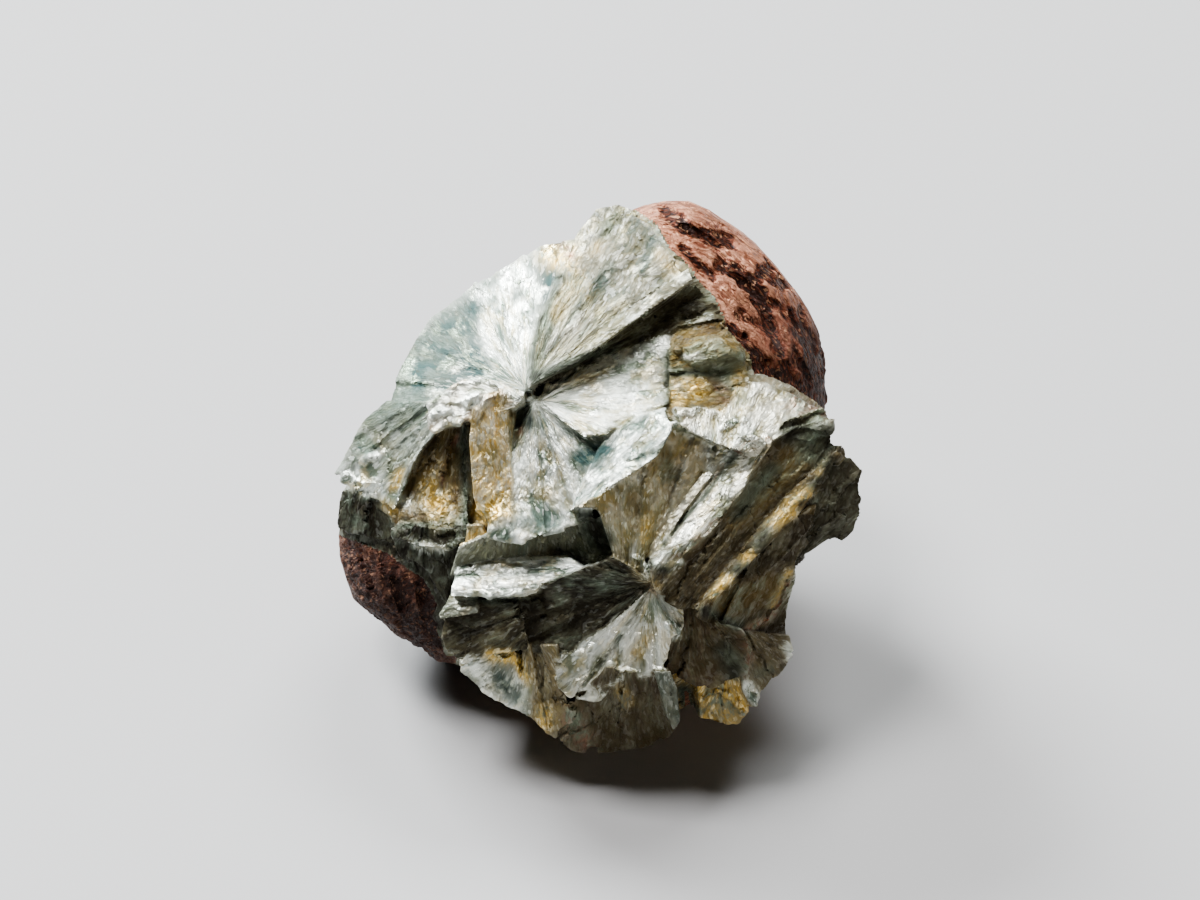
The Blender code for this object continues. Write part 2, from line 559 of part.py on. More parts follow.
def settle(stone):
    """Turns the modifiers into mesh, without the pockets sealed between the blades."""
    graph = bpy.context.evaluated_depsgraph_get()
    data = bpy.data.meshes.new_from_object(stone.evaluated_get(graph))
    mesh = bmesh.new()
    mesh.from_mesh(data)
    left, shells = set(mesh.faces), []
    while left:
        shells.append(shell_of(next(iter(left))))
        left -= shells[-1]
    shells.sort(key=len)
    bmesh.ops.delete(mesh, geom=[f for shell in shells[:-1] for f in shell], context="FACES")
    mesh.to_mesh(data)
    mesh.free()
    stone.modifiers.clear()
    stone.data = data


def main():
    clear_scene()
    rng = random.Random(SEED)
    stone = make_body()
    stone.name = "seraphinite_nodule"
    stone.data.materials.append(seraphinite())
    add_boolean(stone, "furrows", "DIFFERENCE", [make_gouge(gouge) for gouge in GOUGES])
    add_boolean(stone, "blades", "UNION", [make_block(block, rng) for block in BLOCKS])
    add_boolean(stone, "flat_base", "DIFFERENCE", [make_floor_cutter()])
    settle(stone)


main()
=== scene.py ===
"""Looks of a broken nodule of seraphinite: pearly fans of blades in a copper-brown rind."""

import math
import random
from collections import namedtuple

import bmesh
import bpy
import numpy as np
from bpy.props import FloatProperty, FloatVectorProperty, IntProperty, PointerProperty
from bpy.types import Operator, Panel, PropertyGroup
from mathutils import Matrix, Vector, noise


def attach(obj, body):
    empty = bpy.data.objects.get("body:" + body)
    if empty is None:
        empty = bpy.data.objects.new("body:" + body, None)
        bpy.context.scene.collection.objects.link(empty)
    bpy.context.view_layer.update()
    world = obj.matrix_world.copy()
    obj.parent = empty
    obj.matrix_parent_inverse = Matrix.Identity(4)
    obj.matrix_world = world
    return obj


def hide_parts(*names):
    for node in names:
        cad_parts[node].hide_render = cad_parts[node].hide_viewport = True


bl_info = {
    "name": "Broken seraphinite nodule",
    "version": (1, 0, 0),
    "blender": (4, 5, 0),
    "location": "3D View > Sidebar > Nodule",
    "description": "Dresses the solid nodule with fibrous blades and a pitted rind",
    "category": "Object",
}

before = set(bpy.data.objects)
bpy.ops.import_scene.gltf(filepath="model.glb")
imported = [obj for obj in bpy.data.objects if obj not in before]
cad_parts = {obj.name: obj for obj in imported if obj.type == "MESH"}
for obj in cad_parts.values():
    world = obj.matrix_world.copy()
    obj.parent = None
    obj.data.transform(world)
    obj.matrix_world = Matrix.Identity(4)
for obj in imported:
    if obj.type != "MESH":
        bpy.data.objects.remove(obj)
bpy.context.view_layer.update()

NODE = "seraphinite_nodule"
BODY = "root"
STONE = "broken_nodule"
SEED = 5
MM = 0.001

# The stone leans back. Places on it are written in the frame of its broken face, in millimetres
# from the middle of the stone: across to the right, up the face, out of it.
FACE_LEAN = math.radians(40)
FACE_CENTRE = Vector((0.052, 0.123, 8.7))
ACROSS = Vector((1, 0, 0))
UP_FACE = Vector((0, math.sin(FACE_LEAN), math.cos(FACE_LEAN)))
OUT_OF_FACE = Vector((0, -math.cos(FACE_LEAN), math.sin(FACE_LEAN)))
TURN = np.array([ACROSS, UP_FACE, OUT_OF_FACE])

# The rounded body under the rind is several ellipsoids that run together. The heart is a place in
# its middle.
HEART = np.array((0.0, 0.0, -2.0))
Lobe = namedtuple("Lobe", "centre radii")
LOBES = [
    Lobe((0.0, -0.3, -1.5), (8.2, 8.6, 7.4)),
    Lobe((3.1, 3.3, -1.6), (6.5, 8.0, 6.4)),
    Lobe((-4.7, -2.4, -1.6), (6.3, 5.7, 5.6)),
    Lobe((-0.5, 0.5, -3.6), (8.3, 8.0, 6.6)),
    Lobe((1.5, 0.3, 2.5), (3.2, 3.2, 4.6)),
    Lobe((5.5, -0.5, 0.5), (3.8, 4.5, 5.6)),
    Lobe((1.8, -4.3, 0.2), (5.5, 5.6, 5.9)),
]
# How softly the ellipsoids run together, in mm.
BLEND = 0.35
# Low swellings and hollows of the body's skin.
Swell = namedtuple("Swell", "place width height")
SWELLS = [
    Swell((7.2, 8.4, -1.5), 2.6, -0.45),
    Swell((3.7, 10.9, 0.0), 1.6, 0.35),
    Swell((5.4, 9.1, 1.2), 1.1, -0.45),
    Swell((6.9, 6.6, 3.0), 1.1, -0.40),
    Swell((8.2, 5.0, 2.2), 1.8, 0.25),
    Swell((-9.0, -4.2, 1.0), 1.8, 0.30),
]
# How high the skin's own unevenness is, and how long, in mm.
UNEVENNESS = 0.30
UNEVEN_LENGTH = 3.2

# The fans of blades. Each has its root, its outline, and the plane of its top: a point on it, and
# how much further out it gets per mm across and per mm up. Then come its tones, from 0 to 1. The
# dark tone is partly the stone's own near-black and partly painted shade, on faces turned down and
# away from the lights, and under overhangs.
Tones = namedtuple("Tones", "pale teal olive gold russet dark", defaults=(0.0,))
Fan = namedtuple("Fan", "name root outline anchor slope tones")
FANS = [
    Fan("left_disc", (-3.05, 3.5),
        [(-3.05, 3.5), (-6.0, 2.6), (-8.9, 2.6), (-8.5, 4.0), (-7.9, 5.2), (-7.1, 6.5),
         (-5.9, 7.3), (-5.0, 8.1), (-3.6, 8.9), (-2.5, 9.7), (-0.6, 9.9), (-1.0, 6.0)],
        (-3.1, 3.6, 5.6), (0.75, -1.05), Tones(0.6, 1.0, 0.0, 0.0, 0.0, 0.1)),
    Fan("upper_wedge", (-2.9, 3.6),
        [(-2.9, 3.6), (-2.5, 6.3), (-1.6, 8.0), (-1.0, 9.9), (-0.2, 10.9), (0.7, 11.05),
         (1.1, 10.9), (2.1, 10.2), (2.6, 9.2), (3.5, 8.4), (3.7, 7.9), (2.3, 7.6),
         (1.0, 6.6), (0.0, 5.5), (-1.0, 4.6)],
        (-2.9, 3.6, 6.0), (0.15, -0.48), Tones(0.6, 0.8, 0.25, 0.15, 0.0, 0.15)),
    # The wedge's underside is in the dark tone: painted shade under its overhang.
    Fan("wedge_underside", (-2.8, 3.7),
        [(-2.8, 3.7), (2.4, 7.8), (3.7, 8.0), (4.5, 7.1), (4.7, 6.6), (5.0, 5.9),
         (2.6, 5.4), (0.0, 4.6)],
        (-2.8, 3.7, 5.3), (-0.585, 0.66), Tones(0.1, 0.1, 0.85, 0.05, 0.0, 0.9)),
    Fan("right_fan", (-2.4, 3.0),
        [(-2.4, 3.0), (-1.9, 3.7), (-1.0, 4.3), (0.5, 4.8), (2.6, 5.6), (2.9, 5.0),
         (2.7, 4.3), (2.75, 2.9), (2.1, 2.7), (1.1, 2.2), (0.2, 1.6), (-0.6, 1.5),
         (-1.6, 2.2)],
        (-2.4, 3.2, 5.7), (0.0, -0.85), Tones(1.0, 0.15, 0.0, 0.05, 0.0)),
    Fan("olive_knob", (-2.4, 3.4),
        [(2.8, 4.1), (2.9, 5.0), (3.5, 5.5), (5.2, 5.6), (5.9, 4.8), (6.1, 3.9), (5.9, 2.8),
         (5.0, 2.5), (2.8, 2.9)],
        (4.4, 4.3, 5.2), (-0.15, -0.2), Tones(0.1, 0.05, 0.85, 0.3, 0.2, 0.4)),
    Fan("crown_face", (4.4, -1.0),
        [(5.9, 3.9), (6.8, 3.8), (7.8, 3.4), (8.9, 2.75), (9.4, 2.1), (7.8, 1.9), (7.0, 1.3),
         (6.0, 0.9), (4.9, 1.2), (3.6, 1.8), (3.0, 2.8), (5.1, 2.6)],
        (6.5, 1.6, 6.5), (-0.5, -0.75), Tones(0.9, 0.1, 0.05, 0.25, 0.1)),
    Fan("centre_field", (-2.7, 3.0),
        [(-2.7, 3.0), (-1.6, 2.4), (0.2, 1.8), (0.4, 0.6), (-0.6, -1.2), (-0.2, -1.8),
         (-1.0, -2.1), (-2.2, -2.4), (-3.2, -2.8), (-4.6, -2.5), (-4.2, 0.0), (-3.6, 1.5)],
        (-2.7, 2.9, 5.9), (0.1, -0.25), Tones(0.9, 0.3, 0.05, 0.0, 0.0)),
    Fan("ridge_light_side", (-3.5, -4.0),
        [(-1.2, -1.5), (-0.4, 0.4), (0.2, 1.6), (1.2, 2.3), (2.7, 2.8), (3.0, 1.9),
         (2.4, 0.8), (1.1, -0.1), (0.0, -0.8)],
        (1.0, 0.0, 8.0), (0.52, -0.58), Tones(0.9, 0.5, 0.0, 0.0, 0.0)),
    Fan("ridge_dark_side", (1.2, -5.5),
        [(-0.9, -1.3), (0.0, -0.7), (1.0, 0.0), (2.1, 0.5), (2.6, 1.2), (2.95, 1.95),
         (3.9, 1.9), (4.85, 1.3), (4.2, 0.2), (3.2, -1.2), (2.4, -2.6), (2.0, -3.4),
         (1.2, -3.7), (0.5, -3.3), (0.2, -2.2), (0.15, -1.3)],
        (1.0, 0.0, 8.0), (-0.5, 0.26), Tones(0.6, 0.0, 0.4, 0.3, 0.0)),
    Fan("left_stripe", (-8.0, -14.0),
        [(2.2, -3.2), (3.1, -1.4), (4.2, 0.1), (5.0, 1.3), (5.8, 1.5), (4.6, 0.0),
         (3.4, -1.6), (2.6, -2.9)],
        (4.0, -0.9, 6.8), (0.46, -0.53), Tones(0.75, 0.0, 0.25, 0.25, 0.0, 0.1)),
    Fan("right_stripe", (-8.0, -14.0),
        [(2.4, -3.4), (3.6, -1.8), (4.8, -0.3), (6.1, 1.2), (7.0, 1.8), (7.0, 1.2),
         (6.2, 0.1), (5.8, -0.7), (4.8, -1.9), (3.6, -2.9), (2.8, -3.4)],
        (4.8, -1.9, 7.5), (0.44, -0.56), Tones(1.0, 0.0, 0.0, 0.1, 0.1)),
    Fan("broad_side", (-6.0, -16.0),
        [(2.0, -3.6), (3.6, -2.8), (4.8, -2.1), (6.0, -0.5), (6.9, 0.8), (7.4, 2.0),
         (9.0, 2.6), (9.6, 1.9), (9.75, 1.0), (9.3, 0.2), (8.0, -1.4), (6.5, -3.0),
         (5.0, -4.6), (4.0, -5.2), (3.3, -5.4), (2.2, -4.8)],
        (4.5, -2.2, 7.3), (-0.70, 0.15), Tones(0.1, 0.1, 0.9, 0.15, 0.15, 0.85)),
    Fan("golden_band", (-6.0, -16.0),
        [(3.9, -5.3), (5.1, -3.9), (6.1, -2.9), (7.2, -1.4), (8.2, -0.4), (9.3, 0.8),
         (9.75, 0.9), (9.1, -0.6), (7.9, -1.9), (6.5, -3.3), (5.4, -4.4), (4.6, -5.2)],
        (7.0, -2.2, 5.9), (-0.35, -0.1), Tones(0.1, 0.0, 0.85, 0.25, 0.2, 0.75)),
    Fan("right_cheek", (2.0, -12.0),
        [(4.2, -5.3), (5.5, -4.4), (6.6, -3.3), (8.2, -1.9), (8.7, -2.8), (8.1, -3.6),
         (8.15, -4.6), (7.8, -6.0), (7.9, -6.9), (6.2, -6.5), (5.2, -6.3), (4.0, -5.7)],
        (6.5, -3.3, 5.8), (-1.1, 0.5), Tones(0.1, 0.05, 0.85, 0.12, 0.2, 0.88)),
    Fan("far_fan", (8.0, -3.6),
        [(8.0, -2.0), (9.0, -0.2), (9.5, 0.9), (10.4, 0.65), (10.9, 0.1), (10.95, -1.6),
         (10.6, -2.4), (10.1, -2.8), (9.5, -2.5), (8.6, -3.2), (8.0, -3.4)],
        (8.3, -2.8, 3.4), (-0.75, 0.05), Tones(0.1, 0.4, 0.75, 0.05, 0.0, 0.88)),
    Fan("green_overhang", (-2.5, 1.5),
        [(0.35, -1.5), (-1.0, -2.0), (-2.2, -2.3), (-3.2, -2.7), (-4.6, -2.5), (-5.8, -3.0),
         (-6.2, -4.2), (-4.8, -4.0), (-3.0, -4.0), (-1.3, -3.9), (0.5, -3.6)],
        (-2.5, -2.9, 6.2), (-0.1, 1.2), Tones(0.3, 0.7, 0.4, 0.05, 0.0, 0.15)),
    Fan("white_ledge", (1.8, -3.6),
        [(-6.1, -4.6), (-5.9, -3.9), (-4.8, -3.4), (-3.0, -3.5), (-1.4, -3.3), (-0.6, -3.8),
         (-1.8, -4.2), (-2.8, -4.8), (-3.1, -5.0), (-4.5, -5.05), (-6.2, -5.0)],
        (-3.5, -4.4, 6.5), (0.22, -0.7), Tones(1.0, 0.1, 0.0, 0.0, 0.0)),
    Fan("ledge_corner", (-3.6, -5.0),
        [(-6.2, -4.9), (-5.1, -4.9), (-5.0, -5.7), (-6.65, -5.95)],
        (-5.9, -5.4, 5.7), (0.35, -0.2), Tones(0.4, 0.1, 0.4, 0.0, 0.1, 0.4)),
    # The two dark faces turn down towards the floor. Their dark tone is painted shade.
    Fan("dark_face_left", (1.6, -3.6),
        [(-6.5, -6.5), (-6.3, -5.7), (-5.1, -5.2), (-3.3, -4.9), (-3.0, -7.1), (-4.6, -7.4),
         (-5.7, -7.8), (-6.1, -7.5)],
        (-4.8, -6.3, 5.6), (0.45, 0.3), Tones(0.1, 0.15, 0.85, 0.1, 0.0, 0.96)),
    Fan("dark_face_right", (2.1, -4.4),
        [(-3.6, -5.0), (-2.6, -4.6), (-0.8, -3.9), (0.5, -3.3), (1.5, -3.9), (2.1, -4.4),
         (1.3, -5.4), (0.0, -6.4), (-1.0, -7.3), (-1.8, -7.3), (-3.4, -7.2)],
        (-1.5, -5.8, 6.3), (0.12, 0.38), Tones(0.1, 0.2, 0.85, 0.0, 0.05, 0.96)),
    Fan("silver_corner", (-3.0, -6.6),
        [(-5.5, -7.3), (-4.6, -7.2), (-3.6, -7.1), (-3.1, -7.8), (-2.6, -8.6), (-2.8, -9.3),
         (-2.9, -9.95), (-3.8, -9.65), (-4.9, -8.95), (-5.8, -8.1)],
        (-3.9, -8.7, 4.0), (0.5, 0.45), Tones(0.7, 0.5, 0.0, 0.1, 0.0)),
    Fan("corner_rib", (-3.0, -5.5),
        [(-3.2, -6.9), (-1.7, -7.0), (-1.7, -8.6), (-1.0, -9.6), (-1.4, -11.1),
         (-2.4, -10.6), (-3.0, -9.9), (-2.6, -8.6)],
        (-2.2, -8.5, 5.0), (0.3, 0.65), Tones(0.2, 0.1, 0.6, 0.25, 0.2, 0.4)),
    Fan("bottom_fan", (2.1, -4.5),
        [(2.1, -4.5), (0.6, -6.0), (-0.6, -6.9), (-1.0, -7.3), (-1.85, -7.4), (-1.8, -8.6),
         (-1.2, -9.1), (0.0, -9.3), (0.9, -8.2), (2.3, -8.3), (2.75, -7.6), (3.0, -6.5),
         (3.5, -6.2), (3.4, -5.4)],
        (2.0, -4.7, 7.1), (0.2, 0.2), Tones(1.0, 0.1, 0.0, 0.1, 0.0)),
    Fan("bottom_front", (1.5, -3.0),
        [(-0.8, -8.8), (0.3, -7.9), (2.3, -8.1), (2.9, -8.1), (3.15, -8.9), (3.2, -10.4),
         (2.8, -10.9), (2.0, -11.2), (0.0, -11.45), (-1.2, -11.4), (-1.7, -10.9),
         (-1.3, -9.6)],
        (0.8, -9.5, 5.0), (0.0, 1.15), Tones(0.1, 0.1, 0.85, 0.1, 0.2, 0.7)),
    Fan("thin_flake", (2.3, -6.0),
        [(2.2, -8.1), (2.9, -8.1), (3.15, -8.8), (3.3, -10.3), (3.05, -10.6), (2.7, -9.8)],
        (2.8, -9.2, 5.7), (-0.3, 1.1), Tones(0.4, 0.5, 0.3, 0.0, 0.0, 0.3)),
    Fan("russet_knob", (3.6, -4.8),
        [(3.2, -5.3), (4.1, -5.3), (5.0, -6.1), (5.9, -6.4), (6.2, -7.0), (6.1, -8.2),
         (5.2, -8.4), (4.8, -8.7), (3.9, -8.8), (3.1, -8.4), (2.6, -7.5), (2.9, -6.5)],
        (4.5, -7.0, 6.1), (-0.2, 0.35), Tones(0.1, 0.0, 0.85, 0.1, 0.35, 0.7)),
    Fan("golden_knob", (5.0, -7.2),
        [(3.9, -8.4), (5.7, -8.3), (6.1, -9.2), (6.15, -9.9), (5.7, -10.3), (4.9, -10.35),
         (4.1, -10.2)],
        (5.0, -9.4, 3.9), (-0.2, 0.75), Tones(0.15, 0.0, 0.5, 0.8, 0.0)),
    Fan("right_foot", (5.6, -6.0),
        [(5.8, -6.4), (7.2, -6.6), (7.8, -6.7), (8.0, -7.25), (7.7, -7.8), (7.0, -8.8),
         (6.3, -9.6), (5.9, -9.2), (5.8, -8.2)],
        (7.0, -7.8, 3.8), (-0.9, 0.4), Tones(0.15, 0.1, 0.6, 0.25, 0.25, 0.7)),
    Fan("left_slope", (-5.0, 4.4),
        [(-8.9, 3.05), (-7.0, 3.0), (-6.6, 2.2), (-7.4, 1.0), (-8.0, -0.4), (-8.5, -1.5),
         (-9.1, -1.0), (-10.5, -0.65), (-10.95, 0.1), (-10.3, 1.2), (-9.7, 2.2)],
        (-8.2, 0.0, 3.9), (0.95, -0.22), Tones(0.35, 0.6, 0.4, 0.0, 0.0)),
    Fan("left_rim", (-3.0, 2.9),
        [(-7.1, 2.9), (-6.2, 3.4), (-5.4, 3.8), (-4.7, 3.95), (-3.9, 3.75), (-3.1, 3.4),
         (-3.1, 2.8), (-3.8, 2.6), (-5.2, 2.3), (-6.2, 2.15), (-7.1, 1.8)],
        (-5.5, 3.0, 5.9), (0.35, -0.3), Tones(0.6, 0.0, 0.4, 0.1, 0.4)),
    Fan("olive_hollow", (-5.6, 3.6),
        [(-7.0, 2.1), (-6.0, 2.4), (-5.0, 2.2), (-5.0, 0.5), (-5.2, -1.0), (-5.5, -2.4),
         (-7.0, -2.6), (-8.2, -2.6), (-8.8, -1.7), (-8.3, -0.9), (-7.9, 0.4)],
        (-6.3, 0.0, 4.2), (0.3, 0.05), Tones(0.08, 0.1, 0.85, 0.25, 0.25, 0.55)),
    Fan("tan_slab", (-4.4, 12.0),
        [(-5.25, 2.6), (-4.6, 3.3), (-3.9, 3.45), (-3.4, 3.0), (-3.45, 2.2), (-3.65, 0.6),
         (-3.55, -0.4), (-3.55, -1.6), (-4.1, -1.95), (-4.9, -1.75), (-5.2, -1.0),
         (-5.25, 0.0), (-5.35, 1.4)],
        (-4.4, 0.5, 6.6), (0.05, -0.05), Tones(1.0, 0.0, 0.1, 0.85, 0.0)),
    Fan("tan_pebble", (-4.6, 0.0),
        [(-5.4, -2.1), (-4.9, -2.1), (-4.7, -2.5), (-4.9, -2.95), (-5.5, -2.9)],
        (-5.1, -2.4, 5.9), (0.1, 0.1), Tones(0.2, 0.0, 0.1, 0.8, 0.1)),
    # The two skirts at the lower left are near-black with the dark tone, partly painted shade.
    Fan("left_skirt", (-9.3, 4.0),
        [(-10.8, -0.6), (-9.2, -0.8), (-8.6, -1.2), (-8.4, -2.5), (-8.2, -3.2), (-9.5, -2.7),
         (-11.0, -2.2)],
        (-9.5, -1.8, 2.5), (0.85, 0.25), Tones(0.1, 0.3, 0.6, 0.0, 0.0, 1.0)),
    Fan("lash_skirt", (-7.0, 2.0),
        [(-8.6, -2.2), (-6.8, -2.2), (-5.3, -2.3), (-5.3, -3.3), (-6.1, -4.4), (-6.3, -5.6),
         (-7.1, -4.1), (-8.3, -3.3)],
        (-7.0, -3.0, 4.3), (0.4, 0.5), Tones(0.08, 0.3, 0.5, 0.0, 0.0, 1.0)),
]
TONE_NAMES = Tones._fields
